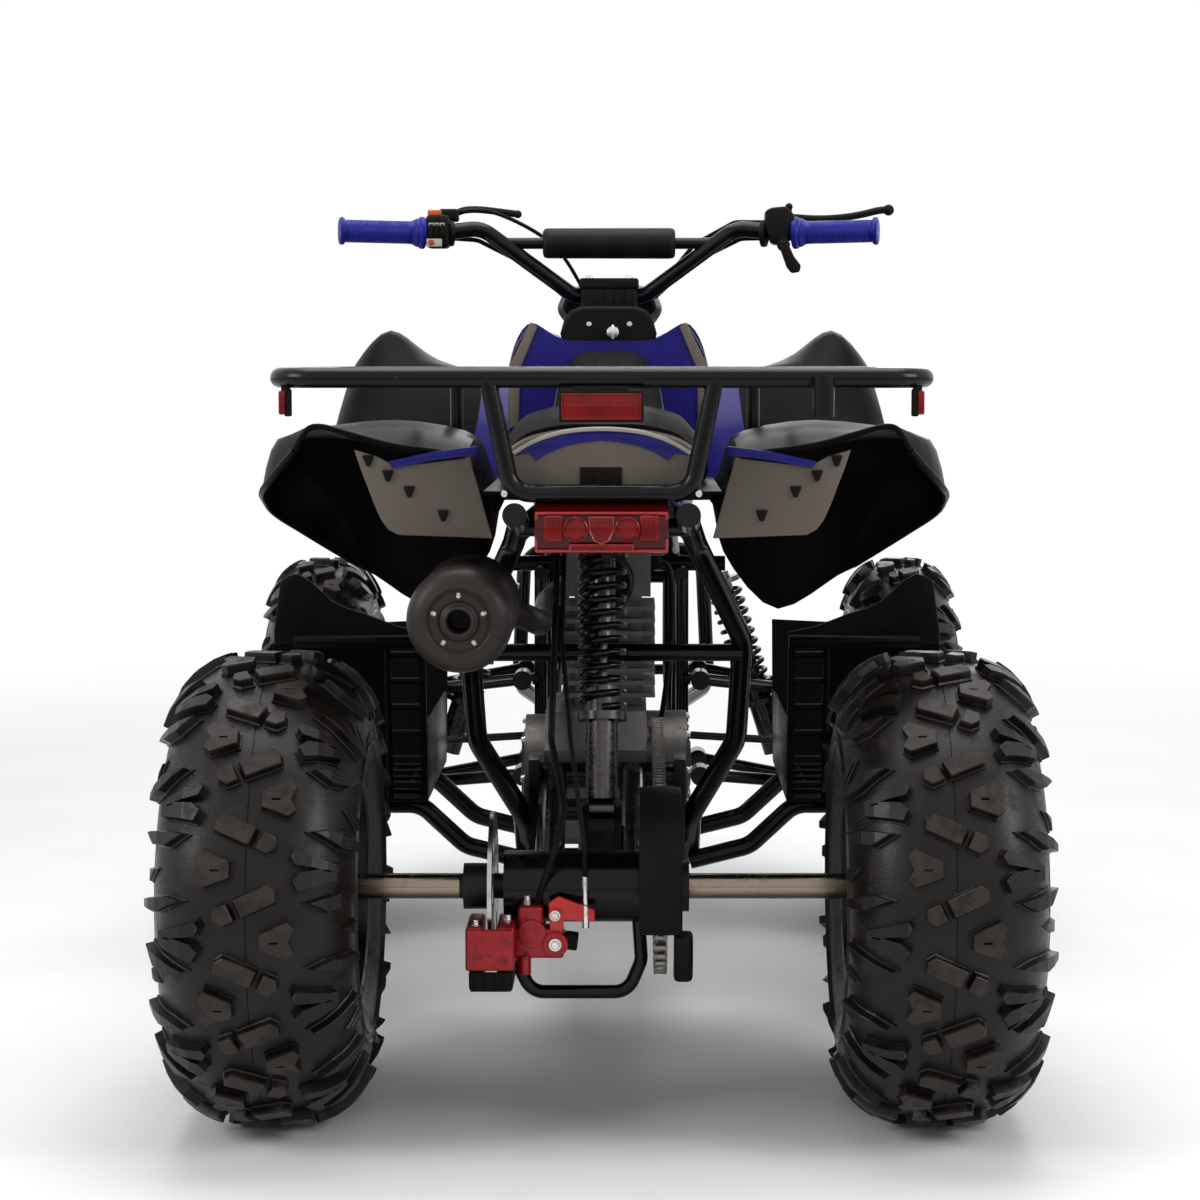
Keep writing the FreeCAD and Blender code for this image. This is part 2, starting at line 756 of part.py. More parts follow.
def panel_bands():
    outline = [(139, 799), (225, 777), (225, 768), (139, 789)]
    return pair(prism_y(outline, -706, -702))


def tail_cover():
    rows = [
        section(-646, [(100, deck_z), (112, 790), (80, 822), (30, 830)]),
        section(-720, [(104, deck_z), (116, 788), (82, 820), (30, 828)]),
        section(-768, [(98, deck_z), (110, 784), (78, 812), (28, 820)]),
    ]
    return skin([refined(row, True) for row in rows])


def footwell(side):
    """One moulding: floor, raised heel and toe walls, inner kerb."""
    x0, x1 = 236, 432
    y0, y1 = rear_axle_y + 385, front_axle_y - 390
    floor_z = 316.0
    floor = box(x0, x1, y0, y1, floor_z, floor_z + 6)
    heel = sheet([
        [(x0, y0, floor_z + 6), (x1, y0, floor_z + 6)],
        [(x0, y0 - 17, 430), (x1, y0 - 17, 430)],
        [(x0, y0 - 34, 534), (x1, y0 - 34, 534)],
    ], skin_t)
    for k in range(5):
        z = 345 + 35 * k
        heel = heel.cut(box(x0 + 9, x0 + 50, y0 - 60, y0 + 20, z, z + 24))
    guard = prism_y([(x0, 528), (x1, 528), (x1, 545), (423, 611), (401, 621), (385, 612),
                     (356, 585), (317, 570), (x0, 545)], y0 - 38, y0 - 32)
    rail = rod((x0, y0 - 42, 533), (x1 - 26, y0 - 42, 533), 9)
    toe = sheet([
        [(x0, y1, floor_z + 6), (x1, y1, floor_z + 6)],
        [(x0, y1 + 26, 430), (x1 + 30, y1 + 26, 440)],
        [(x0, y1 + 40, 520), (x1 + 12, y1 + 40, 510)],
    ], skin_t)
    ribs = []
    for k in range(6):
        y = y0 + 35 + 56 * k
        ribs.append(box(x0, x1 - 16, y, y + 12, floor_z + 6, floor_z + 12))
    kerb = box(x0, x0 + 5, y0, y1, floor_z, 420)
    body = floor.fuse([heel, guard, rail, toe, kerb] + ribs)
    return body if side > 0 else flip(body)


def footrest_bars(tubes):
    """Two bars a side from the lower rail out under the footwell floor."""
    bars = []
    for y in (rear_axle_y + 440, front_axle_y - 450):
        bar = tube([(rail_x, y, rail_z), (190, y, rail_z + 20), (250, y, 304), (420, y, 304)],
                   12, 40)
        bars += pair(bar.cut(tubes))
    return bars


# Rack, lamps and small parts of the tail

def rear_rack():
    front_y = rack_rear_y + rack_depth
    half = [(0, rack_rear_y, rack_z), (rack_half, rack_rear_y, rack_z),
            (rack_half - 30, front_y, rack_z), (0, front_y, rack_z)]
    loop = tube(half, rack_r, 45)
    slats = []
    for x in (-216, -72, 72, 216):
        slats.append(rod((x, rack_rear_y, rack_z), (x, front_y, rack_z), 6))
    return loop.fuse([flip(loop)] + slats).removeSplitter()


def rack_support(rack, tubes):
    z = 752.0
    y = -785.0
    return tube([(-124, rack_rear_y, rack_z), (-98, y, z), (98, y, z), (124, rack_rear_y, rack_z)],
                10, 26).cut(rack).cut(tubes)


def rack_legs(rack, fender):
    front_y = rack_rear_y + rack_depth
    legs = []
    for x in (-180, 180):
        leg = rod((x, front_y, rack_z), (x, front_y, 780), 8).cut(rack).cut(fender)
        upright = [s for s in leg.Solids if s.BoundBox.ZLength > 20]
        legs.append(min(upright, key=lambda s: s.BoundBox.ZMin + abs(s.CenterOfMass.z - 840)))
    return legs


def reflectors():
    centre = box(-46, 46, -806, -797, 830, 864)
    side = box(338, 352, -789, -780, 836, 866)
    return [centre] + pair(side)


def reflector_brackets(rack):
    plate = box(-30, 30, -797, -794, 832, rack_z).cut(rack)
    side = box(340, 350, -780, -777, 838, rack_z).cut(rack)
    return [min(plate.Solids, key=lambda s: s.CenterOfMass.z)] + [
        min(s.Solids, key=lambda q: q.CenterOfMass.z) for s in pair(side)]


def flag_socket():
    y = rack_rear_y - rack_r - 12
    return ring((240, y, 836), (240, y, 880), 12, 8)


def tail_light():
    """Lamp body with a sloped top, two round lenses and a shield between them."""
    body = prism_x([(-800, 690), (-806, 716), (-800, 732), (-782, 742), (-752, 742), (-752, 684)],
                   -73, 73)
    parts = [box(-15, 15, -810, -790, 697, 726)]
    for x in (-27, 27):
        parts.append(rod((x, -790, 714), (x, -811, 714), 13))
    for x in (-50, 50):
        parts.append(rod((x, -800, 702), (x, -800, 728), 11))
    return body.fuse(parts).removeSplitter()


# Front end

def front_bumper(tubes):
    top_y, low_y = front_axle_y + 317, front_axle_y + 295
    half = [(0, top_y, 575), (150, top_y, 575), (160, low_y, 345), (97, front_axle_y + 110, 330)]
    loop = tube(half, 12, 45).cut(tubes)
    loop = max(loop.Solids, key=lambda s: s.Volume)
    low = rod((-158, low_y + 3, 372), (158, low_y + 3, 372), 9)
    return loop.fuse([flip(loop), low]).removeSplitter()


def skid_plate():
    top = rail_z - 11
    rear, bend, front = front_axle_y - 164, front_axle_y - 146, front_axle_y + 60
    return prism_x([(rear, top - 4), (bend, top - 4), (front, top + 34), (front, top + 38),
                    (bend, top), (rear, top)], -92, 92)


arm_leg_r = 9.5
arm_pivot_x = 138.0
low_gap = 90.0
low_z = 252.0
high_gap = 78.0
high_z = 400.0
kingpin_top = front_axle_z + knuckle_half
kingpin_low = front_axle_z - knuckle_half
eye_h = 20.0


def suspension_arms(tubes):
    """Upper and lower wishbones of the right side."""
    parts = []
    for z_out, z_in, gap in ((kingpin_low - eye_h / 2 - 0.5, low_z, low_gap),
                             (kingpin_top + eye_h / 2 + 0.5, high_z, high_gap)):
        eye = ring((kingpin_x, front_axle_y, z_out - eye_h / 2),
                   (kingpin_x, front_axle_y, z_out + eye_h / 2), 19, kingpin_r + running_gap)
        hole = rod((kingpin_x, front_axle_y, z_out - 30), (kingpin_x, front_axle_y, z_out + 30), 19)
        legs = []
        for side in (-1, 1):
            y = front_axle_y + side * gap
            pivot = (arm_pivot_x, y, z_in)
            legs.append(rod((kingpin_x - 12, front_axle_y, z_out), pivot, arm_leg_r).cut(hole))
            legs.append(rod((arm_pivot_x, y - 22, z_in), (arm_pivot_x, y + 22, z_in), 15))
        arm = legs[0].fuse(legs[1:] + [eye])
        parts.append(arm.cut(tubes))
    return parts


def arm_towers(cutters):
    """Posts, top bar and stubs of one side that hold the wishbone pivots."""
    y_rear, y_front = front_axle_y - low_gap, front_axle_y + low_gap
    top_z = front_shock_top[2] - 10
    rear = rod((rail_x, y_rear, rail_z + 14), (rail_x, y_rear + 25, top_z), 10)
    front = rod((104, y_front, 300), (rail_x, y_front - 20, top_z), 10)
    bar = rod((rail_x, y_rear + 14, top_z), (rail_x, y_front - 9, top_z), 10)
    parts = [front, bar]
    for side in (-1, 1):
        y = front_axle_y + side * high_gap
        parts.append(rod((rail_x, y, high_z), (arm_pivot_x - 15, y, high_z), 9))
        y = front_axle_y + side * low_gap
        parts.append(rod((90, y, low_z), (arm_pivot_x - 15, y, low_z), 9))
    parts.append(box(92, arm_pivot_x - 20, y_front - 12, y_front + 12, low_z - 9, 304))
    return rear.fuse(parts).cut(cutters)


def front_shocks():
    top, foot = V(*front_shock_top), V(*front_shock_foot)
    axis = (foot - top).normalize()
    body = rod(top + axis * 16, top + axis * 190, 14)
    can = rod(top + axis * 190, foot - axis * 14, 19)
    seat_top = rod(top + axis * 26, top + axis * 34, 29)
    seat_low = rod(foot - axis * 104, foot - axis * 96, 29)
    solid = body.fuse([can, seat_top, seat_low])
    spring = coil(top + axis * 34, foot - axis * 104, 24, 4.2, 9)
    return pair(solid), pair(spring)


def knuckle():
    """Right steering knuckle: upright, kingpins, spindle and steering arm."""
    y, z = front_axle_y, front_axle_z
    post = box(kingpin_x - 14, kingpin_x + 14, y - 15, y + 15, kingpin_low, kingpin_top)
    pins = rod((kingpin_x, y, kingpin_low - eye_h), (kingpin_x, y, kingpin_low), kingpin_r)
    pin_top = rod((kingpin_x, y, kingpin_top), (kingpin_x, y, kingpin_top + eye_h), kingpin_r)
    spindle = rod((kingpin_x, y, z), (front_wheel_x + nave_offset + 5, y, z), spindle_r)
    collar = rod((kingpin_x, y, z), (kingpin_x + 23, y, z), 22)
    stud_x, stud_y = kingpin_x + ball_spread, y - steering_arm
    arm = prism_z([(kingpin_x - 10, y - 12), (kingpin_x + 14, y - 12), (stud_x + 9, stud_y),
                   (stud_x - 9, stud_y)], z - 24, z - 14)
    pad = rod((stud_x, stud_y, z - 24), (stud_x, stud_y, z - 14), 12)
    stud = rod((stud_x, stud_y, z - 14), (stud_x, stud_y, z + 14), 5)
    return post.fuse([pins, pin_top, spindle, collar, arm, pad, stud]).removeSplitter()


arm_dir = V(0, -stem_axis.z, stem_axis.y)


def pitman_ball(side):
    return V(*stem_foot) + arm_dir * steering_arm + V(side * ball_spread, 0, 0)


def steering_stem():
    top = V(*stem_top) - stem_axis * 26
    foot = V(*stem_foot) - stem_axis * 46
    stem = rod(foot, top, stem_r)
    mid = V(*stem_foot)
    hub = rod(mid - stem_axis * 5, mid + stem_axis * 5, 26)
    parts = [hub]
    for side in (-1, 1):
        end = pitman_ball(side)
        parts.append(rod(end - stem_axis * 5, end + stem_axis * 5, 12))
        parts.append(rod(end, end + stem_axis * 26, 5))
    near = mid + arm_dir * (steering_arm / 2)
    bar = box(-24, 24, -steering_arm / 2, steering_arm / 2, -5, 5)
    bar.Placement = FreeCAD.Placement(near, FreeCAD.Rotation(V(0, 0, 1), stem_axis))
    return stem.fuse(parts + [bar]).removeSplitter()


def tie_rod():
    """Right tie rod, with a cupped end over each ball stud."""
    a = pitman_ball(1) + stem_axis * 16
    b = V(kingpin_x + ball_spread, front_axle_y - steering_arm, front_axle_z)
    d = (b - a).normalize()
    cup_a = ring(a - stem_axis * 8, a + stem_axis * 8, 13, 5 + running_gap)
    up = V(0, 0, 1)
    cup_b = ring(b - up * 8, b + up * 8, 14, 5 + ball_gap)
    bar = rod(a + d * 10, b - d * 11, 6)
    bar = bar.cut(rod(a - stem_axis * 30, a + stem_axis * 30, 9)).cut(rod(b - up * 30, b + up * 30, 11))
    return bar.fuse([cup_a, cup_b])


# Handlebar and controls

bar_points = [
    (bar_half, 70, bar_z), (240, 100, bar_z - 2), (180, 118, bar_z + 6),
    (48, stem_top[1], stem_top[2]), (0, stem_top[1], stem_top[2]),
]


def handlebar():
    half = tube(bar_points, bar_r, 40)
    cross = rod((-cross_half, cross_y, cross_z), (cross_half, cross_y, cross_z), 8)
    return half.fuse([flip(half), cross]).removeSplitter()


def bar_pad():
    a, b = (-pad_half, cross_y, cross_z), (pad_half, cross_y, cross_z)
    return ring(a, b, 24.5, 8.4)


def handlebar_clamp(bar, stem):
    y, z = stem_top[1], stem_top[2]
    block = box(-40, 40, y - 25, y + 25, z - 30, z + 26)
    return block.cut(bar).cut(stem)


def along_bar(s):
    """Point on the straight outer run of the right bar, s from its end."""
    a, b = V(*bar_points[0]), V(*bar_points[1])
    return a + (b - a).normalize() * s


def grips():
    a, b = along_bar(-4), along_bar(grip_len)
    sleeve = rod(a, b, grip_r).fuse(rod(along_bar(grip_len - 6), b, grip_r + 6))
    sleeve = sleeve.cut(rod(along_bar(0), along_bar(grip_len + 1), bar_r + 0.2))
    return pair(sleeve)


def switch_housing(bar, grip):
    x0, x1 = along_bar(grip_len + 36).x, along_bar(grip_len + 2).x
    block = box(-x1, -x0, 78, 124, bar_z - 26, bar_z + 26)
    return block.cut(bar).cut(grip)


def throttle_housing(bar, grip):
    x0, x1 = along_bar(grip_len + 38).x, along_bar(grip_len + 2).x
    block = box(x0, x1, 78, 126, bar_z - 24, bar_z + 26)
    return block.cut(bar).cut(grip)


def control_levers():
    x_in = along_bar(grip_len + 34).x
    right = tube([(x_in, 127, bar_z + 14), (x_in + 30, 150, bar_z + 22), (330, 168, bar_z + 26),
                  (402, 160, bar_z + 36)], 6, 20)
    left = tube([(-x_in, 125, bar_z + 14), (-x_in + 30, 145, bar_z + 22), (-165, 150, bar_z + 24),
                 (-130, 150, bar_z + 20)], 6, 20)
    thumb = tube([(x_in + 20, 77, bar_z - 14), (x_in + 24, 66, bar_z - 34),
                  (x_in + 36, 62, bar_z - 56)], 5, 12)
    return [right, left, thumb]


def control_cables(ends):
    """Cables from the controls along the bar to the lamp's cowl."""
    x = along_bar(grip_len + 30).x
    routes = [
        [(-x, 114, bar_z - 8), (-x + 42, 136, bar_z - 10), (-118, 170, bar_z - 44),
         (-56, 196, bar_z - 96), (-20, 214, bar_z - 96)],
        [(x, 114, bar_z - 8), (x - 42, 136, bar_z - 8), (120, 176, bar_z - 40),
         (58, 206, bar_z - 96), (20, 220, bar_z - 96)],
        [(x, 121, bar_z + 14), (x - 50, 150, bar_z + 16), (122, 186, bar_z - 14),
         (54, 232, bar_z - 96), (20, 240, bar_z - 96)],
    ]
    cables = []
    for route in routes:
        free = tube(route, 3.2, 30).cut(ends)
        cables.append(max(free.Solids, key=lambda s: s.Volume))
    return cables


def headlight_pod(stem):
    pod = skin([
        section(165.5, [(50, 958), (66, 972), (54, 992), (20, 1000)]),
        section(230, [(62, 953), (76, 970), (62, 996), (24, 1006)]),
        section(300, [(58, 946), (72, 965), (58, 990), (22, 998)]),
    ])
    return pod.cut(stem)


def headlight_lens():
    return skin([
        section(300, [(50, 951), (62, 965), (50, 984), (20, 991)]),
        section(312, [(44, 955), (54, 966), (44, 979), (18, 985)]),
    ])


# Brake parts

def caliper():
    y, z = rear_axle_y - 30, rear_axle_z - 66
    body = box(-158, -104, y - 34, y + 22, z - 34, z + 36)
    slot = box(disc_x - disc_t / 2 - 3, disc_x + disc_t / 2 + 3, y - 80, y + 80,
               rear_axle_z - disc_r - 4, z + 60)
    arm = box(-104, -40, y - 20, y + 6, z - 10, z + 24)
    lever = prism_y([(-62, z + 19), (-48, z + 19), (-46, z + 37), (-10, z + 35), (-10, z + 49),
                     (-52, z + 65), (-64, z + 57)], y - 28, y - 16)
    return body.cut(slot).fuse([arm, lever]).cut(rod((-200, rear_axle_y, rear_axle_z),
                                            (200, rear_axle_y, rear_axle_z), carrier_r))


def brake_lines(body, cross):
    """Brake hose and parking cable, from the frame down to the caliper."""
    y, z = rear_axle_y, rear_axle_z
    top_y, top_z = shock_top[1], shock_top[2]
    hose = tube([(-60, top_y, top_z), (-60, top_y - 40, 600), (-64, -520, 443), (-46, -600, 372),
                 (-56, y - 52, z + 53), (-72, y - 53, z + 7), (-80, y - 40, z - 25),
                 (-80, y - 40, z - 50)], 4, 30)
    cable = tube([(-50, top_y, top_z), (-52, top_y - 80, 560), (-40, -560, 450),
                  (-22, y - 52, z + 56), (-21, y - 52, z - 20)], 3, 40)
    lines = []
    for line in (hose, cable):
        free = line.cut(body).cut(cross)
        lines.append(max(free.Solids, key=lambda s: s.Volume))
    return lines


def guard_loop(carrier):
    """Round bar under the axle that keeps stones off the disc and chain."""
    return tube([(-97, rear_axle_y, 250), (-104, rear_axle_y, 190), (-86, rear_axle_y, 152),
                 (28, rear_axle_y, 152), (44, rear_axle_y, 190), (40, rear_axle_y, 250)],
                8, 24).cut(carrier)


def save_frame():
    side = frame_sides()
    upper = frame_uppers(side)
    tubes = Part.makeCompound([side, flip(side), upper, flip(upper)])
    save("frame_side_tubes", pair(side))
    save("frame_upper_tubes", pair(upper))
    cross = frame_cross_members(tubes)
    brackets = [head_bracket(tubes), foot_bracket(tubes)]
    save("frame_cross_members", cross)
    save("steering_brackets", brackets)
    tower = arm_towers(Part.makeCompound([tubes] + cross + brackets))
    save("arm_towers", pair(max(tower.Solids, key=lambda s: s.Volume)))
    return tubes, cross


def save_running_gear(tubes, cross):
    arms = suspension_arms(tubes)
    save("suspension_arms", arms + [flip(arm) for arm in arms])
    carrier = axle_carrier()
    save("swingarm", [swingarm(carrier).fuse([carrier, guard_loop(carrier)]).removeSplitter()])
    rear, rear_coil = rear_shock()
    front, front_coils = front_shocks()
    save("shock_absorbers", [rear] + front)
    save("shock_springs", [rear_coil] + front_coils)
    save("drive_chain", [chain_loop()])
    save("chain_guard", [chain_guard()])
    body = caliper()
    save("rear_caliper", [body])
    save("brake_lines", brake_lines(body, Part.makeCompound(cross)))
    save("front_bumper", [front_bumper(tubes)])
    save("skid_plate", [skid_plate()])


def save_engine(cross):
    save("engine", [engine(Part.makeCompound(cross))])
    save("muffler", [muffler()])
    save("exhaust_pipe", [exhaust_pipe()])


def save_bodywork(tubes):
    tank, nose = tank_cover(), nose_cover()
    save("seat", [seat()])
    save("tank_cover", [tank])
    save("nose_cover", [nose])
    save("front_fender", front_fender(Part.makeCompound([tank, nose])))
    fender = rear_fender()
    save("rear_fender", [fender])
    save("rear_side_panels", rear_side_panels())
    save("side_panel_bands", panel_bands())
    save("tail_cover", [tail_cover()])
    save("footwells", [footwell(-1), footwell(1)])
    save("footrest_bars", footrest_bars(tubes))
    return fender


def save_tail(tubes, fender):
    rack = rear_rack()
    save("rear_rack", [rack])
    save("rack_supports", [rack_support(rack, tubes)] + rack_legs(rack, fender))
    save("reflectors", reflectors())
    save("rack_brackets", reflector_brackets(rack) + [flag_socket()])
    save("tail_light", [tail_light()])


def save_rear_wheels():
    rubber, steel = rear_wheel_parts()
    far = rubber.copy()
    far.translate(V(-2 * rear_wheel_x, 0, 0))
    save("rear_tyres", [rubber, far])
    save("rear_rims", pair(steel))
    save("rear_axle_shaft", [rear_axle_shaft()])
    save("rear_brake_disc", [axle_disc(disc_x, disc_r, disc_t)])
    save("rear_sprocket", [axle_disc(sprocket_x, sprocket_r, sprocket_t)])


def save_front_wheels():
    rubber, steel, hub = front_wheel_parts()
    far = rubber.copy()
    far.translate(V(-2 * front_wheel_x, 0, 0))
    save("front_right_tyre", [rubber])
    save("front_left_tyre", [far])
    for piece, shape in {"rim": steel, "hub": hub}.items():
        save("front_right_" + piece, [shape])
        save("front_left_" + piece, [flip(shape)])
    for piece, shape in {"knuckle": knuckle(), "tie_rod": tie_rod()}.items():
        save("right_" + piece, [shape])
        save("left_" + piece, [flip(shape)])


def save_steering():
    bar = handlebar()
    stem = steering_stem()
    save("steering_stem", [stem])
    save("handlebar", [bar])
    save("bar_pad", [bar_pad()])
    save("handlebar_clamp", [handlebar_clamp(bar, stem)])
    right_grip, left_grip = grips()
    save("grips", [right_grip, left_grip])
    housings = [switch_housing(bar, left_grip), throttle_housing(bar, right_grip)]
    save("control_housings", housings)
    boxes = Part.makeCompound(housings)
    save("control_levers", [lever.cut(boxes) for lever in control_levers()])
    pod = headlight_pod(stem)
    save("headlight_pod", [pod])
    save("control_cables", control_cables(Part.makeCompound(housings + [pod])))
    save("headlight_lens", [headlight_lens()])


def main():
    os.makedirs("parts", exist_ok=True)
    tubes, cross = save_frame()
    save_running_gear(tubes, cross)
    save_engine(cross)
    fender = save_bodywork(tubes)
    save_tail(tubes, fender)
    save_rear_wheels()
    save_front_wheels()
    save_steering()


main()
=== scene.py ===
import contextlib
import math

import bpy
from bpy.props import FloatProperty, FloatVectorProperty, PointerProperty
from mathutils import Matrix, Vector


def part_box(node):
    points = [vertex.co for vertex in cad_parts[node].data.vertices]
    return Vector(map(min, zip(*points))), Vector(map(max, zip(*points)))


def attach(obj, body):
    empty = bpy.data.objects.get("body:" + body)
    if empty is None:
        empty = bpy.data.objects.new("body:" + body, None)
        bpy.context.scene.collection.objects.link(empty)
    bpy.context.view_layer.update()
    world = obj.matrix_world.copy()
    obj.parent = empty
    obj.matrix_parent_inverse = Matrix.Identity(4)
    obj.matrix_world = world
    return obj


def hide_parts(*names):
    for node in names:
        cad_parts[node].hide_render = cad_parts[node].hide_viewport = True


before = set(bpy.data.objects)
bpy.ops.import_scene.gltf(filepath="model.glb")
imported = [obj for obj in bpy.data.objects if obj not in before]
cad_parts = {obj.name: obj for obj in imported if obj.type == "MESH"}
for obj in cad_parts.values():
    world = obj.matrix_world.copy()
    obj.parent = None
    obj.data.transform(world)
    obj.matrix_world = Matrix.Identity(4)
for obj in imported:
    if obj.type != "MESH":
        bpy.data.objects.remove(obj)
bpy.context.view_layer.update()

bl_info = {
    "name": "Quad bike dressing",
    "version": (1, 0, 0),
    "blender": (4, 5, 0),
    "location": "3D View > Sidebar > Quad Bike",
    "description": "Models and finishes the visible pieces of a quad bike around its packed frame",
    "category": "Object",
}


# Modelling helpers

def clear_selection():
    if bpy.context.mode != "OBJECT":
        bpy.ops.object.mode_set(mode="OBJECT")
    bpy.ops.object.select_all(action="DESELECT")


def activate(piece):
    clear_selection()
    piece.select_set(True)
    bpy.context.view_layer.objects.active = piece


@contextlib.contextmanager
def editing(piece):
    """Edit mode on one piece, with all of it selected."""
    activate(piece)
    bpy.ops.object.mode_set(mode="EDIT")
    bpy.ops.mesh.select_all(action="SELECT")
    yield
    bpy.ops.object.mode_set(mode="OBJECT")


def settle(name):
    """Names the new active object, and moves its place into its mesh."""
    piece = bpy.context.object
    piece.name = name
    bpy.ops.object.transform_apply(location=True, rotation=True, scale=True)
    return piece


def modify(piece, kind, **settings):
    """Adds a modifier and applies it."""
    made = piece.modifiers.new(kind.title(), kind)
    for key, value in settings.items():
        setattr(made, key, value)
    activate(piece)
    bpy.ops.object.modifier_apply(modifier=made.name)
    return piece


def cut(piece, cutter):
    """Takes the cutter's shape out of the piece, and then the cutter away."""
    modify(piece, "BOOLEAN", object=cutter, operation="DIFFERENCE", solver="EXACT")
    bpy.data.objects.remove(cutter)


def face_outwards():
    """In edit mode, turns every face of the piece outwards."""
    bpy.ops.mesh.select_all(action="SELECT")
    bpy.ops.mesh.normals_make_consistent(inside=False)


def smooth(piece, angle=35.0):
    activate(piece)
    bpy.ops.object.shade_smooth_by_angle(angle=math.radians(angle))
    return piece


def soften(piece, width, segments=3, angle=30.0):
    """Rounds every edge that is sharper than the angle."""
    modify(piece, "BEVEL", width=width, segments=segments, limit_method="ANGLE",
           angle_limit=math.radians(angle))
    return smooth(piece)


def subdivide(piece, levels):
    return modify(piece, "SUBSURF", levels=levels, render_levels=levels)


def block(name, low, high, edge=0.0, segments=3):
    clear_selection()
    low, high = Vector(low), Vector(high)
    bpy.ops.mesh.primitive_cube_add(size=1, location=(low + high) / 2, scale=high - low)
    piece = settle(name)
    return soften(piece, edge, segments) if edge else piece


def bar(name, start, end, radius, sides=24, edge=0.0):
    clear_selection()
    start, end = Vector(start), Vector(end)
    turn = (end - start).to_track_quat("Z", "Y").to_euler()
    bpy.ops.mesh.primitive_cylinder_add(vertices=sides, radius=radius,
                                        depth=(end - start).length,
                                        location=(start + end) / 2, rotation=turn)
    piece = settle(name)
    return soften(piece, edge, 2, 50) if edge else smooth(piece)


def ball(name, centre, radius, segments=16):
    clear_selection()
    bpy.ops.mesh.primitive_uv_sphere_add(segments=segments, ring_count=segments // 2,
                                         radius=radius, location=centre)
    return smooth(settle(name), 80)


def outlined(name, points, closed=True):
    """New object from a line of points, closed to a face or left as a string of edges."""
    count = len(points)
    edges = [] if closed else [(i, i + 1) for i in range(count - 1)]
    mesh = bpy.data.meshes.new(name)
    mesh.from_pydata([Vector(p) for p in points], edges, [range(count)] if closed else [])
    piece = bpy.data.objects.new(name, mesh)
    bpy.context.scene.collection.objects.link(piece)
    return piece


def slab(name, points, push, edge=0.0, segments=2):
    """Flat outline extruded by the push vector."""
    piece = outlined(name, points)
    with editing(piece):
        bpy.ops.mesh.extrude_region_move(TRANSFORM_OT_translate={"value": push})
        face_outwards()
    return soften(piece, edge, segments) if edge else piece


MERGED = 0.00002


def lathe(name, outline, centre, axis, steps=48, angle=35.0):
    """Turns an outline of (radius, along) points about an axis through the centre."""
    axis, centre = Vector(axis).normalized(), Vector(centre)
    side = axis.orthogonal().normalized()
    piece = outlined(name, [centre + side * r + axis * a for r, a in outline], closed=False)
    with editing(piece):
        bpy.ops.mesh.spin(steps=steps, angle=math.tau, center=centre, axis=axis)
        bpy.ops.mesh.select_all(action="SELECT")
        bpy.ops.mesh.remove_doubles(threshold=MERGED)
        face_outwards()
    return smooth(piece, angle)


def moulding(name, rows, thickness, offset=-1.0):
    """Sheet through rows of points, given its wall."""
    clear_selection()
    bpy.ops.mesh.primitive_grid_add(x_subdivisions=len(rows[0]) - 1,
                                    y_subdivisions=len(rows) - 1)
    piece = settle(name)
    for vertex, point in zip(piece.data.vertices, [p for row in rows for p in row]):
        vertex.co = point
    if thickness:
        modify(piece, "SOLIDIFY", thickness=thickness, offset=offset, edge_crease_rim=0.9)
    return smooth(piece, 40)


WIRE_ROUNDNESS = 2
WIRE_STEPS = 6


def wire(name, points, radius):
    """Smooth round wire, hose or tube through the points."""
    curve = bpy.data.curves.new(name, "CURVE")
    curve.dimensions = "3D"
    curve.bevel_depth = radius
    curve.bevel_resolution = WIRE_ROUNDNESS
    curve.use_fill_caps = True
    spline = curve.splines.new("NURBS")
    spline.points.add(len(points) - 1)
    for point, place in zip(spline.points, points):
        point.co = (*place, 1)
    spline.order_u = 3
    spline.use_endpoint_u = True
    spline.resolution_u = WIRE_STEPS
    piece = bpy.data.objects.new(name, curve)
    bpy.context.scene.collection.objects.link(piece)
    activate(piece)
    bpy.ops.object.convert(target="MESH")
    return smooth(bpy.context.object, 50)


def joined(name, pieces):
    activate(pieces[0])
    for piece in pieces:
        piece.select_set(True)
    if len(pieces) > 1:
        bpy.ops.object.join()
    made = bpy.context.object
    made.name = name
    made.data.name = name
    return made


def twin_of(piece):
    """Copy of a piece with its own mesh."""
    twin = piece.copy()
    twin.data = piece.data.copy()
    bpy.context.scene.collection.objects.link(twin)
    return twin


def copied(piece, change):
    """Copy moved by a matrix, and turned the right way out again."""
    twin = twin_of(piece)
    twin.data.transform(change)
    if change.determinant() < 0:
        twin.data.flip_normals()
    return twin


ORIGIN, UP, REAR, RIGHT = (0, 0, 0), (0, 0, 1), (0, -1, 0), (1, 0, 0)
MIRROR = Matrix.Scale(-1, 4, RIGHT)


def both(piece):
    """The piece and its mirror image across the middle of the machine."""
    return [piece, copied(piece, MIRROR)]


def around(count, reach, start=0.0, centre=(0, 0)):
    """Places evenly spaced on a circle, the first one a share of a step past its first axis."""
    for k in range(count):
        angle = math.tau * (k + start) / count
        yield centre[0] + reach * math.cos(angle), centre[1] + reach * math.sin(angle)


def dressed(name, parts, body, recipe, replaced=()):
    """Joins parts to one finished piece, with its body and the nodes that it stands for."""
    piece = joined(name, parts)
    piece.data.materials.clear()
    piece.data.materials.append(finish_of(recipe))
    if replaced:
        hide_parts(*replaced)
    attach(piece, body)
    return piece


def middle_of(node):
    low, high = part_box(node)
    return (low + high) / 2


# Outlines written in millimetres

def metres(points):
    return [tuple(c * 0.001 for c in point) for point in points]


def metres_rows(rows):
    return [metres(row) for row in rows]


def at_rear(points, y):
    """Millimetre (x, z) points set in the upright plane at y, in metres."""
    return [(x * 0.001, y, z * 0.001) for x, z in points]


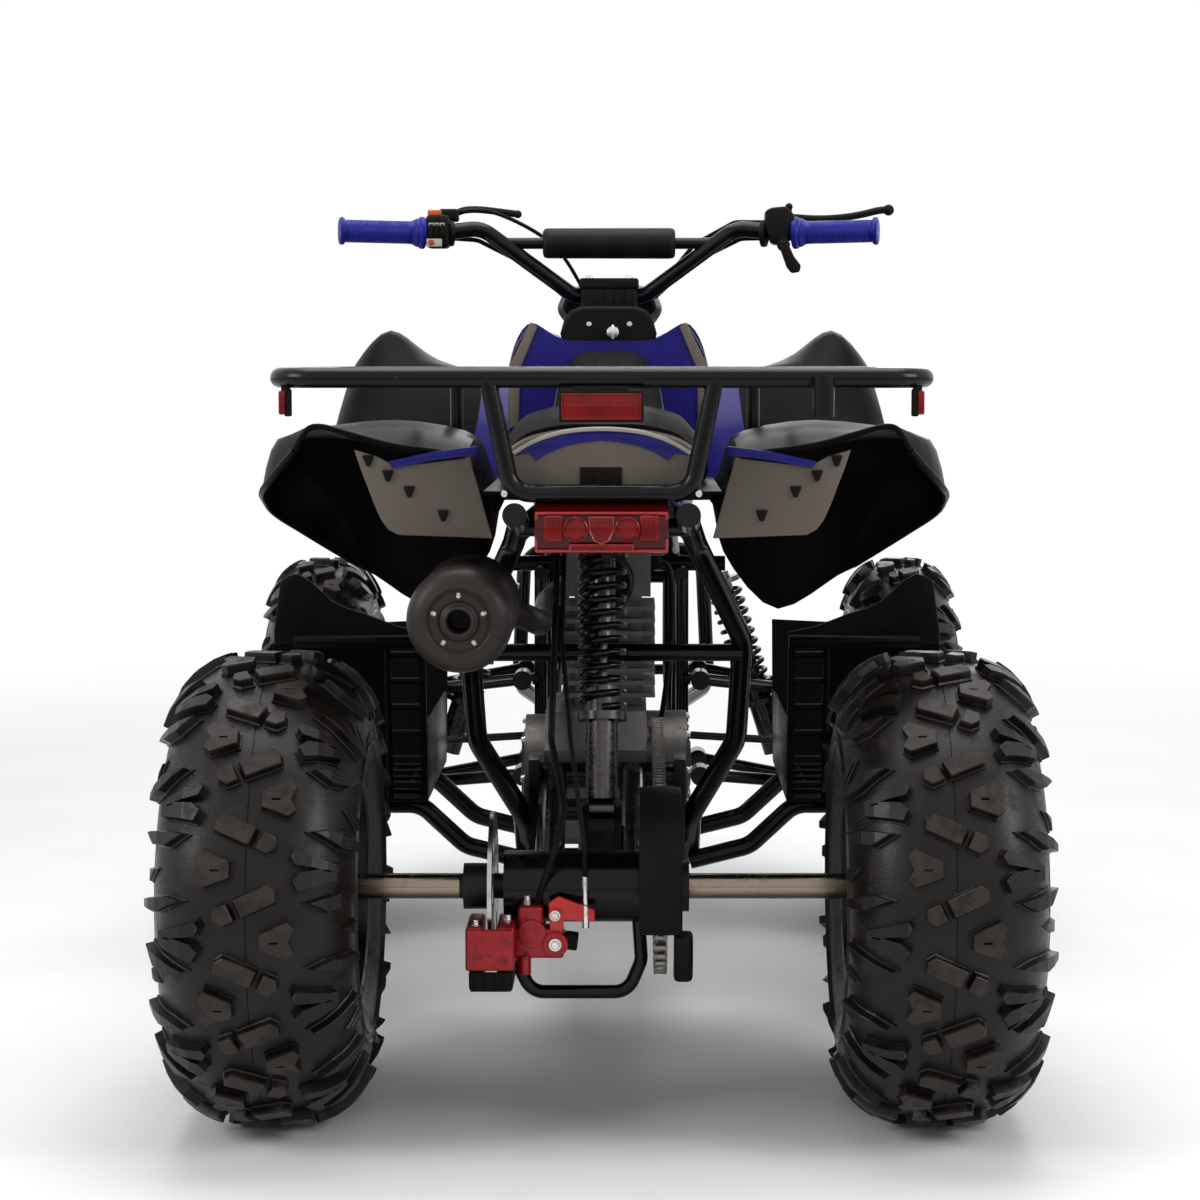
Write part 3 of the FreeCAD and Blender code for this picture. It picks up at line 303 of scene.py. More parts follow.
def plate(name, outline, y, thickness, edge, segments=2):
    """Upright plate from a millimetre outline at y, grown by its thickness to the rear."""
    return slab(name, at_rear(outline, y), (0, -thickness, 0), edge, segments)


def section(y, half_outline):
    """Symmetric ring at y from its right half, in millimetres, from the bottom up."""
    right = [(x * 0.001, y * 0.001, z * 0.001) for x, z in half_outline]
    return right + [(-x, y, z) for x, y, z in right[::-1]]


def sections(stations):
    return [section(y, outline) for y, outline in stations]


# Shader maths

class Reading:
    """A number or vector on a socket, so that shader maths reads as plain Python."""

    def __init__(self, nodes, socket):
        self.nodes = nodes
        self.socket = socket

    def _with(self, operation, *values):
        return self.nodes.node("ShaderNodeMath", {"operation": operation},
                               dict(enumerate(values)))

    def __add__(self, other):
        return self._with("ADD", self, other)

    def __sub__(self, other):
        return self._with("SUBTRACT", self, other)

    def __rsub__(self, other):
        return self._with("SUBTRACT", other, self)

    def __mul__(self, other):
        return self._with("MULTIPLY", self, other)

    def __gt__(self, other):
        return self._with("GREATER_THAN", self, other)

    def __lt__(self, other):
        return self._with("LESS_THAN", self, other)

    def maths(self, operation, *others):
        return self._with(operation, self, *others)

    def span(self, low, high, start=0.0, end=1.0):
        """Runs from start to end as the reading goes from low to high."""
        return self.nodes.node("ShaderNodeMapRange", {"interpolation_type": "SMOOTHSTEP"},
                               {0: self, 1: low, 2: high, 3: start, 4: end})


class Nodes:
    """A node tree that is filled by short calls."""

    def __init__(self, tree):
        self.tree = tree
        tree.nodes.clear()

    def node(self, kind, settings=None, inputs=None, output=0):
        made = self.tree.nodes.new(kind)
        for key, value in (settings or {}).items():
            setattr(made, key, value)
        for key, value in (inputs or {}).items():
            if isinstance(value, Reading):
                self.tree.links.new(value.socket, made.inputs[key])
            else:
                made.inputs[key].default_value = value
        return Reading(self, made.outputs[output]) if made.outputs else made

    def axes(self, vector):
        parted = self.node("ShaderNodeSeparateXYZ", None, {0: vector})
        return [Reading(self, socket) for socket in parted.socket.node.outputs]

    def blend(self, share, first, second):
        return self.node("ShaderNodeMixShader", None, {0: share, 1: first, 2: second})


class Finish(Nodes):
    """A material whose patterns follow the place on the piece."""

    def __init__(self, name):
        self.material = bpy.data.materials.new(name)
        self.material.use_nodes = True
        super().__init__(self.material.node_tree)
        self.place = self.node("ShaderNodeTexCoord", output="Object")
        self.facing = self.node("ShaderNodeTexCoord", output="Normal")

    def noise(self, scale, detail=2.0, rough=0.5, vector=None):
        return self.node("ShaderNodeTexNoise", None,
                         {"Vector": vector or self.place, "Scale": scale, "Detail": detail,
                          "Roughness": rough})

    def streaks(self, scale, detail, rough):
        """Noise drawn out by a scale along each axis."""
        drawn = self.node("ShaderNodeMapping", None, {0: self.place, 3: scale})
        return self.noise(1, detail, rough, drawn)

    def mix(self, share, first, second):
        return self.node("ShaderNodeMix", {"data_type": "RGBA"},
                         {0: share, 6: colour(first), 7: colour(second)}, output=2)

    def bump(self, height, depth, strength):
        return self.node("ShaderNodeBump", None,
                         {"Height": height, "Distance": depth, "Strength": strength})

    def surface(self, **values):
        """Ends the tree in one shader, from its sockets' names."""
        names = {key.replace("_", " "): value for key, value in values.items()}
        shader = self.node("ShaderNodeBsdfPrincipled", None, names)
        self.node("ShaderNodeOutputMaterial", None, {"Surface": shader})
        return self.material


def colour(value):
    """A colour as the four numbers that a socket takes; a reading passes through."""
    if isinstance(value, Reading):
        return value
    return (*tuple(value)[:3], 1.0)


# Finishes

finishes = {}


def finish_of(name):
    """Makes each finish once, when it is first asked for."""
    if name not in finishes:
        recipe, *values = RECIPES[name]
        finishes[name] = recipe(*values)
    return finishes[name]


def looks():
    return bpy.context.scene.quad_looks


def painted_tube():
    """Black gloss powder coat on tube, with dust on top and a faint orange peel."""
    f = Finish("painted_tube")
    up = f.axes(f.facing)[2].span(0.3, 1.0)
    dust = f.noise(38, 4, 0.65).span(0.48, 0.72) * up
    peel = f.noise(420, 2)
    chips = f.noise(160, 3, 0.7).span(0.71, 0.76)
    base = f.mix(dust * 0.25, looks().tube_black, (0.035, 0.031, 0.027))
    base = f.mix(chips * 0.5, base, (0.11, 0.10, 0.09))
    rough = f.noise(24, 3).span(0.3, 0.8, 0.14, 0.26) + dust * 0.2
    return f.surface(Base_Color=base, Roughness=rough, Specular_IOR_Level=0.2,
                     Normal=f.bump(peel, 0.0004, 0.25))


def moulded(name, shade, rough, grain, depth, scuffs, level):
    """Injection-moulded plastic: fine grain, soft mottling and long light scuffs.

    The shade is a colour, or the name of a setting that holds one.
    """
    f = Finish(name)
    shade = getattr(looks(), shade) if isinstance(shade, str) else shade
    mottle = f.noise(9, 3, 0.6)
    fine = f.noise(grain, 2, 0.6)
    streak = f.streaks((160, 22, 40), 4, 0.7).span(0.62, 0.74)
    base = f.mix(mottle.span(0.35, 0.7) * 0.22, shade, [c * 0.72 for c in shade])
    base = f.mix(streak * scuffs * 0.35, base, [min(1, c * 1.5 + 0.03) for c in shade])
    roughness = mottle.span(0.3, 0.7, rough - 0.06, rough + 0.08) + streak * 0.12
    return f.surface(Base_Color=base, Roughness=roughness, Specular_IOR_Level=level,
                     Normal=f.bump(fine, depth, 0.35))


def tread_rubber(name, node):
    """Dusty rubber: scuffed tread, fine rays and rings on the sidewall."""
    f = Finish(name)
    low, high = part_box(node)
    radius = (high.z - low.z) / 2
    hub = (0, (low.y + high.y) / 2, (low.z + high.z) / 2)
    shifted = f.node("ShaderNodeVectorMath", {"operation": "SUBTRACT"}, {0: f.place, 1: hub})
    y, z = f.axes(shifted)[1:]
    reach = (y * y + z * z).maths("SQRT")
    angle = z.maths("ARCTAN2", y)
    side = f.axes(f.facing)[0].maths("ABSOLUTE").span(0.55, 0.9) * (reach < radius * 0.93)
    rays = (angle * 260).maths("SINE") * side
    rings = (reach * 1500).maths("SINE") * side * (reach < radius * 0.72)
    dust = f.noise(30, 5, 0.7).span(0.42, 0.75)
    worn = (reach > radius - 0.004) * f.noise(60, 3).span(0.3, 0.62, 0.2, 1.0)
    base = f.mix(dust * 0.45, looks().rubber, (0.020, 0.015, 0.012))
    base = f.mix(worn * 0.75, base, (0.034, 0.025, 0.0205))
    rough = dust.span(0, 1, 0.32, 0.62) + worn * 0.06
    height = rays * 0.22 + rings * 0.15 + f.noise(500, 3)
    return f.surface(Base_Color=base, Roughness=rough, Specular_IOR_Level=0.24,
                     Normal=f.bump(height, 0.0007, 0.5))


def satin_black():
    """Wheel rims: satin black enamel with brake dust and stone nicks."""
    f = Finish("satin_black")
    dust = f.noise(45, 4, 0.6).span(0.45, 0.75)
    nick = f.noise(230, 2, 0.6).span(0.72, 0.76)
    base = f.mix(dust * 0.5, (0.005, 0.005, 0.005), (0.030, 0.025, 0.021))
    base = f.mix(nick * 0.7, base, (0.22, 0.21, 0.20))
    return f.surface(Base_Color=base, Roughness=dust.span(0, 1, 0.30, 0.6),
                     Specular_IOR_Level=0.2, Normal=f.bump(f.noise(350, 2), 0.0003, 0.3))


def metal(name, shade, rough, stain):
    """Bare metal with fine machining lines and stains."""
    f = Finish(name)
    lines = f.streaks((300, 300, 300), 3, 0.6)
    spots = f.noise(36, 5, 0.7).span(0.5, 0.78)
    base = f.mix(spots * 0.6, shade, stain)
    roughness = lines.span(0.3, 0.7, rough - 0.08, rough + 0.1) + spots * 0.25
    return f.surface(Base_Color=base, Roughness=roughness, Metallic=1.0 - spots * 0.35,
                     Normal=f.bump(lines, 0.0002, 0.3))


COLLARS = (-0.170, 0.100)


def axle_steel():
    """Ground axle steel with a brown film, and painted collars beside the bearings."""
    f = Finish("axle_steel")
    x = f.axes(f.place)[0]
    collar = (x > COLLARS[0]) * (x < COLLARS[1])
    lines = f.streaks((40, 900, 900), 3, 0.6)
    spots = f.noise(36, 5, 0.7).span(0.52, 0.8)
    bare = f.mix(spots * 0.6, (0.27, 0.215, 0.165), (0.07, 0.042, 0.026))
    return f.surface(Base_Color=f.mix(collar, bare, (0.008, 0.0075, 0.007)),
                     Metallic=(1.0 - spots * 0.3) * (1.0 - collar),
                     Roughness=lines.span(0.3, 0.7, 0.14, 0.26) + spots * 0.2 + collar * 0.2,
                     Specular_IOR_Level=0.25, Normal=f.bump(lines, 0.0002, 0.2))


def disc_steel():
    """Brake disc: turned rings about the axle, and a rusty edge."""
    f = Finish("disc_steel")
    centre = middle_of("rear_brake_disc")
    y, z = f.axes(f.place)[1:]
    reach = ((y - centre.y).maths("POWER", 2) + (z - centre.z).maths("POWER", 2)).maths("SQRT")
    groove = (reach * 5200).maths("SINE")
    rust = f.noise(70, 4, 0.7).span(0.5, 0.75) * reach.span(0.04, 0.09, 1.0, 0.35)
    base = f.mix(rust * 0.7, (0.46, 0.45, 0.44), (0.13, 0.065, 0.03))
    return f.surface(Base_Color=base, Metallic=1.0 - rust * 0.5,
                     Roughness=rust.span(0, 1, 0.24, 0.6), Normal=f.bump(groove, 0.0001, 0.4))


def exhaust_coat():
    """Heat-proof matt coat, brown-grey, with fine speckle and soot."""
    f = Finish("exhaust_coat")
    speck = f.noise(520, 3, 0.7)
    soot = f.noise(20, 4, 0.6).span(0.45, 0.75)
    base = f.mix(soot * 0.6, (0.024, 0.018, 0.016), (0.008, 0.0065, 0.006))
    return f.surface(Base_Color=base, Roughness=soot.span(0, 1, 0.40, 0.55),
                     Specular_IOR_Level=0.2, Normal=f.bump(speck, 0.0003, 0.4))


def brake_red():
    f = Finish("brake_red")
    dirt = f.noise(85, 4, 0.65).span(0.48, 0.72)
    base = f.mix(dirt * 0.6, looks().caliper_red, (0.045, 0.004, 0.004))
    return f.surface(Base_Color=base, Metallic=0.35, Roughness=dirt.span(0, 1, 0.3, 0.55),
                     Normal=f.bump(f.noise(420, 3), 0.0005, 0.5))


def grip_rubber():
    """Moulded grip: blue rubber with a matt bloom and a fine grain."""
    f = Finish("grip_rubber")
    bloom = f.noise(50, 3).span(0.35, 0.7)
    base = f.mix(bloom * 0.35, looks().grip_blue, [c * 0.6 for c in looks().grip_blue])
    return f.surface(Base_Color=base, Roughness=bloom.span(0, 1, 0.36, 0.52),
                     Specular_IOR_Level=0.2, Normal=f.bump(f.noise(900, 2), 0.0003, 0.5))


def seat_vinyl():
    """Seat cover: leather grain cells and soft creases."""
    f = Finish("seat_vinyl")
    cells = f.node("ShaderNodeTexVoronoi", {"feature": "DISTANCE_TO_EDGE"},
                   {"Vector": f.place, "Scale": 520})
    pores = cells.span(0.0, 0.35)
    crease = f.noise(26, 3, 0.6)
    base = f.mix(crease.span(0.35, 0.7) * 0.35, looks().seat_grey,
                 [c * 0.7 for c in looks().seat_grey])
    return f.surface(Base_Color=base, Roughness=crease.span(0.3, 0.7, 0.55, 0.68),
                     Specular_IOR_Level=0.06,
                     Normal=f.bump(pores * 0.7 + crease * 0.6, 0.0007, 0.5))


def pad_cover():
    """Bar pad: woven black cover."""
    f = Finish("pad_cover")
    x, y, z = f.axes(f.place)
    weave = (x * 2600).maths("SINE") * (z * 2600 + y * 2600).maths("SINE")
    base = f.mix(f.noise(40, 4).span(0.4, 0.75) * 0.4, (0.0035, 0.0033, 0.0035),
                 (0.012, 0.011, 0.010))
    return f.surface(Base_Color=base, Roughness=0.42, Specular_IOR_Level=0.14,
                     Normal=f.bump(weave, 0.0003, 0.35))


def red_lens():
    """Tail lamp plastic: deep red with fine ribs, and a painted highlight and a painted glow in
    soft noisy patches, standing in for light thrown back by the lens.
    """
    f = Finish("red_lens")
    x, _, z = f.axes(f.place)
    ribs = (x * 1300).maths("SINE") * 0.5 + (z * 1300).maths("SINE") * 0.5
    # Painted highlight and painted glow: noisy patches lift the base colour and drive the emission
    # on lenses that are not lit.
    painted_glow = f.noise(30, 2).span(0.3, 0.7)
    base = f.mix(painted_glow * 0.5, looks().lens_red, (0.22, 0.003, 0.003))
    return f.surface(Base_Color=base, Roughness=0.14, Specular_IOR_Level=0.25,
                     Emission_Color=f.mix(painted_glow, (0.05, 0, 0), (0.16, 0.002, 0)),
                     Emission_Strength=0.2, Normal=f.bump(ribs, 0.0002, 0.25))


def clear_lens():
    f = Finish("clear_lens")
    x = f.axes(f.place)[0]
    flutes = (x * 700).maths("SINE")
    tint = f.mix(f.noise(20, 2), (0.62, 0.66, 0.70), (0.80, 0.82, 0.84))
    return f.surface(Base_Color=tint, Roughness=0.08, Metallic=0.35, Coat_Weight=0.8,
                     Normal=f.bump(flutes, 0.0004, 0.5))


# Each finish's maker, and what it takes: for moulded plastic the material's name, shade,
# roughness, grain, depth of the grain, scuffs and gloss, and for metal its name, shade,
# roughness and stain.
RECIPES = {
    "plastic_black": (moulded, "gloss_plastic", (0.0030, 0.0027, 0.0026), 0.38, 500, 0.0002,
                      0.2, 0.05),
    "plastic_matt": (moulded, "matt_plastic", (0.0056, 0.0049, 0.0045), 0.5, 1400, 0.0006,
                     0.3, 0.08),
    "plastic_blue": (moulded, "blue_plastic", "cover_blue", 0.24, 500, 0.0002, 0.2, 0.22),
    "plastic_grey": (moulded, "grey_plastic", "panel_grey", 0.5, 1600, 0.0004, 0.12, 0.2),
    "spring_black": (moulded, "spring_enamel", (0.004, 0.004, 0.0045), 0.24, 600, 0.0002,
                     0.4, 0.25),
    "lamp_rim": (moulded, "lamp_rim", (0.060, 0.0012, 0.0016), 0.2, 500, 0.0002, 0.3, 0.25),
    # Pale red of the lamp's raised rims: a painted highlight along each rim.
    "lens_line": (moulded, "lens_line", (0.36, 0.030, 0.028), 0.12, 500, 0.0001, 0.1, 0.4),
    "lever_red": (moulded, "lever_red", (0.52, 0.010, 0.008), 0.3, 420, 0.0003, 0.3, 0.5),
    "signal_orange": (moulded, "signal_orange", (0.50, 0.085, 0.020), 0.35, 600, 0.0002,
                      0.2, 0.4),
    "pale_plastic": (moulded, "pale_plastic", (0.42, 0.38, 0.33), 0.4, 700, 0.0002, 0.2, 0.4),
    "piping": (moulded, "piping", (0.016, 0.016, 0.018), 0.5, 1200, 0.0004, 0.2, 0.35),
    "steel": (metal, "bright_steel", (0.66, 0.65, 0.63), 0.24, (0.30, 0.26, 0.22)),
    "alloy": (metal, "cast_alloy", (0.125, 0.118, 0.112), 0.46, (0.035, 0.030, 0.025)),
    "damper_steel": (metal, "damper_steel", (0.075, 0.070, 0.068), 0.26, (0.02, 0.017, 0.015)),
    "chain_steel": (metal, "chain_steel", (0.24, 0.22, 0.20), 0.36, (0.07, 0.05, 0.035)),
    "tyre_rubber": (tread_rubber, "rear_rubber", "rear_tyres"),
    "front_rubber": (tread_rubber, "front_rubber", "front_right_tyre"),
    "frame_black": (painted_tube,), "seat_cover": (seat_vinyl,), "rim_black": (satin_black,),
    "axle_steel": (axle_steel,), "exhaust_black": (exhaust_coat,), "disc_steel": (disc_steel,),
    "caliper_red": (brake_red,), "grip_blue": (grip_rubber,), "lens_red": (red_lens,),
    "lens_clear": (clear_lens,), "pad_black": (pad_cover,),
}

NODE_FINISHES = {
    "rear_axle_shaft": "axle_steel", "rear_brake_disc": "disc_steel",
    "shock_absorbers": "damper_steel",
}


# Settings that a user would change

class QuadLooks(bpy.types.PropertyGroup):
    """Colours of the painted, moulded and rubber pieces."""

    tube_black: FloatVectorProperty(
        name="Tube black", description="Paint of the frame, rack and bars",
        subtype="COLOR", size=3, min=0, max=1, default=(0.0035, 0.0030, 0.0030))
    cover_blue: FloatVectorProperty(
        name="Cover blue", description="Tank covers and the bands of the tail",
        subtype="COLOR", size=3, min=0, max=1, default=(0.009, 0.007, 0.145))
    panel_grey: FloatVectorProperty(
        name="Panel grey", description="Tail cover and rear panels",
        subtype="COLOR", size=3, min=0, max=1, default=(0.130, 0.108, 0.090))
    grip_blue: FloatVectorProperty(
        name="Grip blue", description="Rubber of the grips",
        subtype="COLOR", size=3, min=0, max=1, default=(0.006, 0.009, 0.20))
    seat_grey: FloatVectorProperty(
        name="Seat grey", description="Vinyl of the seat",
        subtype="COLOR", size=3, min=0, max=1, default=(0.0085, 0.0080, 0.0082))
    rubber: FloatVectorProperty(
        name="Rubber", description="Clean tyre rubber",
        subtype="COLOR", size=3, min=0, max=1, default=(0.0055, 0.0040, 0.0032))
    caliper_red: FloatVectorProperty(
        name="Caliper red", description="Enamel of the rear brake",
        subtype="COLOR", size=3, min=0, max=1, default=(0.30, 0.006, 0.010))
    lens_red: FloatVectorProperty(
        name="Lens red", description="Tail lamp and reflectors",
        subtype="COLOR", size=3, min=0, max=1, default=(0.10, 0.0012, 0.002))


class QuadStage(bpy.types.PropertyGroup):
    """Floor, camera and lamps."""

    camera_distance: FloatProperty(
        name="Camera distance", description="From the camera to the machine's middle",
        unit="LENGTH", default=3.782)
    camera_height: FloatProperty(
        name="Camera height", description="Height of the lens above the floor",
        unit="LENGTH", default=0.903)
    camera_dip: FloatProperty(
        name="Camera dip", description="How far the camera looks down",
        subtype="ANGLE", default=math.radians(5.11))
    camera_aside: FloatProperty(
        name="Camera aside", description="How far the camera stands to the right",
        unit="LENGTH", default=0.036)
    shift: FloatProperty(
        name="Shift", description="Sideways shift of the picture, as a share of its width",
        default=-0.0288)
    lens: FloatProperty(
        name="Lens", description="Focal length in millimetres", default=82.26)
    ambient: FloatProperty(
        name="Ambient light", description="Strength of the light from all sides", default=0.42)


class QuadTyres(bpy.types.PropertyGroup):
    """Sizes of the tyres and rims."""

    rear_width: FloatProperty(
        name="Rear width", description="Width of a rear tyre", unit="LENGTH", default=0.240)
    phase: FloatProperty(
        name="Tread turn", description="Height angle of the first bar behind the axle",
        subtype="ANGLE", default=math.radians(6.5))
    rim_radius: FloatProperty(
        name="Rim radius", description="Radius of the bead seat", unit="LENGTH", default=0.133)
    rim_wall: FloatProperty(
        name="Rim wall", description="Depth of the rim's barrel", unit="LENGTH", default=0.011)
    nave: FloatProperty(
        name="Nave offset", description="From the wheel's middle to its nave plate",
        unit="LENGTH", default=0.020)


class QuadBody(bpy.types.PropertyGroup):
    """Sizes of the bodywork and the padding of its soft parts."""

    skin: FloatProperty(
        name="Skin", description="Wall of the moulded panels", unit="LENGTH", default=0.004)
    deck: FloatProperty(
        name="Deck height", description="Height of the deck under the seat", unit="LENGTH",
        default=0.750)
    deck_edge: FloatProperty(
        name="Deck edge", description="Half width of the flat deck", unit="LENGTH", default=0.134)
    tank_half: FloatProperty(
        name="Tank half width", description="Half width of the tank's cover", unit="LENGTH",
        default=0.138)
    voxel: FloatProperty(
        name="Cloth grain", description="Edge of the remeshed padding", unit="LENGTH",
        default=0.006)
    pressure: FloatProperty(
        name="Padding pressure", description="Pressure inside the padded parts", default=4.0)


# Stage

class QUAD_OT_stage(bpy.types.Operator):
    """Builds the floor, the lamps, the world and the camera."""

    bl_idname = "quad.stage"
    bl_label = "Stage"

    def execute(self, context):
        stage = context.scene.quad_stage
        place_camera(context.scene, stage)
        lay_floor()
        light_world(context.scene, stage.ambient)
        hang_lamps()
        context.scene.view_settings.view_transform = "Standard"
        return {"FINISHED"}


def place_camera(scene, stage):
    data = bpy.data.cameras.new("camera")
    data.lens = stage.lens
    data.shift_x = stage.shift
    data.clip_end = 100
    camera = bpy.data.objects.new("camera", data)
    camera.location = (stage.camera_aside, -stage.camera_distance, stage.camera_height)
    camera.rotation_euler = (math.pi / 2 - stage.camera_dip, 0, 0)
    scene.collection.objects.link(camera)
    scene.camera = camera


FLOOR_SIZE = 60
WHITE = (1, 1, 1, 1)
LAMPS = {
    "overhead": ((0, 0.0, 3.4), 2.6, 80),
    "left_box": ((-3.0, -2.2, 2.2), 1.6, 55),
    "right_box": ((3.0, -2.0, 2.2), 1.6, 55),
    "front_box": ((0.6, 3.6, 2.0), 2.0, 22),
}
LIT_POINT = Vector((0, 0, 0.5))


def lay_floor():
    """Pale floor that holds the shadow near the machine and is white further off."""
    clear_selection()
    bpy.ops.mesh.primitive_plane_add(size=FLOOR_SIZE)
    floor = settle("floor")
    f = Finish("pale_floor")
    x, y = f.axes(f.place)[:2]
    away = (x * x + y * y).maths("SQRT").span(1.2, 4.5)
    fleck = f.noise(3, 3).span(0.3, 0.7, 0.0, 1.0)
    diffuse = f.node("ShaderNodeBsdfPrincipled", None, {
        "Base Color": f.mix(fleck, (0.86, 0.86, 0.86), (0.90, 0.90, 0.90)),
        "Roughness": 0.85})
    white = f.node("ShaderNodeEmission", None, {"Color": WHITE, "Strength": 1.0})
    seen = f.node("ShaderNodeLightPath", output="Is Camera Ray")
    f.node("ShaderNodeOutputMaterial", None, {"Surface": f.blend(away * seen, diffuse, white)})
    floor.data.materials.append(f.material)


def light_world(scene, ambient):
    """Even light on the machine, and white where the eye, gloss or glass meets the sky."""
    world = bpy.data.worlds.new("studio")
    world.use_nodes = True
    n = Nodes(world.node_tree)
    eye, gloss, glass = [n.node("ShaderNodeLightPath", output="Is " + ray + " Ray")
                         for ray in ("Camera", "Glossy", "Transmission")]
    seen = eye.maths("MAXIMUM", gloss.maths("MAXIMUM", glass))
    light, sky = [n.node("ShaderNodeBackground", None, {"Color": WHITE, "Strength": strength})
                  for strength in (ambient, 1.0)]
    n.node("ShaderNodeOutputWorld", None, {"Surface": n.blend(seen, light, sky)})
    scene.world = world


def hang_lamps():
    for name, (place, size, watts) in LAMPS.items():
        data = bpy.data.lights.new(name, "AREA")
        data.size = size
        data.energy = watts
        lamp = bpy.data.objects.new(name, data)
        lamp.location = place
        aim = LIT_POINT - lamp.location
        lamp.rotation_euler = aim.to_track_quat("-Z", "Y").to_euler()
        bpy.context.scene.collection.objects.link(lamp)


# Pieces that stay as built and only take a finish

class QUAD_OT_metalwork(bpy.types.Operator):
    """Finishes the tubes, arms, shafts and other pieces that keep their built shape."""

    bl_idname = "quad.metalwork"
    bl_label = "Metalwork"

    def execute(self, context):
        for name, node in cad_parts.items():
            slot = node.material_slots[0]
            recipe = NODE_FINISHES.get(name, slot.material.name.split(".")[0])
            slot.material = finish_of(recipe)
        return {"FINISHED"}


# Tyres

class TreadSection:
    """Half section of a carcass as (across, radius) points, walked by its arc length."""

    def __init__(self, points):
        self.points = [Vector((x, r)) for x, r in points]
        self.marks = [0.0]
        for a, b in zip(self.points, self.points[1:]):
            self.marks.append(self.marks[-1] + (b - a).length)

    def at(self, s):
        """Point and outward normal at arc length s from the crown."""
        k = 0
        while k < len(self.marks) - 2 and s > self.marks[k + 1]:
            k += 1
        share = (s - self.marks[k]) / (self.marks[k + 1] - self.marks[k])
        a, b = self.points[k], self.points[k + 1]
        before = self.points[max(k - 1, 0)]
        after = self.points[min(k + 2, len(self.points) - 1)]
        start, end = (b - before).normalized(), (after - a).normalized()
        along = start.lerp(end, share).normalized()
        return a.lerp(b, share), Vector((-along.y, along.x))


# Lug outlines of one half pitch as (across, round) millimetres on the carcass. The bar
# rises to the right, and the house stands below its right end.
BAR = [(-33, 12.5), (33, 12.5), (39, 2), (34, -12.5), (-32, -12.5), (-39, -1)]
HOUSE = [(13, 10), (46, 26), (54, 16), (48, 0), (54, -14), (45, -23), (13, -11)]
WEDGE = [(-100, 9), (-50, 25), (-45, 16), (-50, 5), (-71, 1.5), (-56, -2), (-47, -13),
         (-54, -28), (-100, -13)]
SIDE_LOW = [(62, 45), (88, 52), (118, 49), (138, 46), (138, 30), (106, 27), (84, 36)]
SIDE_HIGH = [(60, -38), (88, -52), (112, -45), (136, -16), (120, -20)]
WALL_CHIP = [(112, 86), (148, 92), (148, 66)]
BAR_TILT = math.radians(25)
GROOVE = -13.0
GROOVE_HALF = 1.8
SLOTS = {"house": [(31, -1, 9, 2.4), (50, -1, 8, 2.4)],
         "wedge": [(-84, 0, 9, 2.2), (-66, 2, 9, 3.0)]}
LUG_HEIGHT = 0.012
LUG_ROOT = 0.003
LUG_FOOT = 0.002
LUG_LEDGE = 0.0016
LUG_DRAFT = 0.93
LUG_EDGE = 0.0011
SLOT_DEPTH = 0.006
BARS_ROUND = 22
BEND_STEP = 0.017


def tread_lug(name, outline, height, slots=()):
    """One lug standing on the flat tread: a low foot, then the drafted block."""
    points = [(x * 0.001, u * 0.001, -LUG_ROOT) for x, u in outline]
    piece = outlined(name, points)
    middle = sum((Vector(p) for p in points), Vector()) / len(points)
    with editing(piece):
        bpy.ops.mesh.extrude_region_move(
            TRANSFORM_OT_translate={"value": (0, 0, LUG_ROOT + LUG_FOOT)})
        bpy.ops.mesh.inset(thickness=LUG_LEDGE)
        bpy.ops.mesh.extrude_region_move(
            TRANSFORM_OT_translate={"value": (0, 0, height - LUG_FOOT)})
        bpy.ops.transform.resize(value=(LUG_DRAFT, LUG_DRAFT, 1), center_override=middle)
        face_outwards()
    for x, u, length, width in slots:
        low = ((x - length / 2) * 0.001, (u - width / 2) * 0.001, height - SLOT_DEPTH)
        high = ((x + length / 2) * 0.001, (u + width / 2) * 0.001, height + 0.01)
        cut(piece, block("slot", low, high))
    return modify(piece, "BEVEL", width=LUG_EDGE, segments=1, limit_method="ANGLE",
                  angle_limit=math.radians(40))


def half_bar(points, low, high, tilt):
    """Part of the bar between two cuts across it, tilted."""
    kept = []
    for (x0, y0), (x1, y1) in zip(points, points[1:] + points[:1]):
        if low <= x0 <= high:
            kept.append((x0, y0))
        for limit in (low, high) if x1 > x0 else (high, low):
            if min(x0, x1) < limit < max(x0, x1):
                kept.append((limit, y0 + (y1 - y0) * (limit - x0) / (x1 - x0)))
    c, s = math.cos(tilt), math.sin(tilt)
    return [(x * c - y * s, x * s + y * c) for x, y in kept]


def half_pitch(height, pitch, narrow):
    """All lugs that stand round one bar, on the flat tread."""
    drop = -pitch / 2 * 1000
    lugs = {
        "inner": half_bar(BAR, -40, GROOVE - GROOVE_HALF, BAR_TILT),
        "outer": half_bar(BAR, GROOVE + GROOVE_HALF, 40, BAR_TILT),
        "house": [(x, u + drop) for x, u in HOUSE],
        "wedge": [(x, u + drop) for x, u in WEDGE],
        "low": [(-x, u + drop) for x, u in SIDE_LOW],
        "high": [(-x, u + drop) for x, u in SIDE_HIGH],
        "chip": [(-x, u + drop) for x, u in WALL_CHIP],
    }
    made = []
    for name, outline in lugs.items():
        thin = height * (0.45 if name == "chip" else 1.0)
        outline = [(x * narrow, u) for x, u in outline]
        slots = [(x * narrow, u + drop, a * narrow, b) for x, u, a, b in SLOTS.get(name, ())]
        made.append(tread_lug(name, outline, thin, slots))
    piece = joined("half_pitch", made)
    with editing(piece):
        for k in range(3, 9):
            for side in (-1, 1):
                bpy.ops.mesh.select_all(action="SELECT")
                bpy.ops.mesh.bisect(plane_co=(side * k * BEND_STEP * narrow, 0, 0),
                                    plane_no=(1, 0, 0))
    return piece


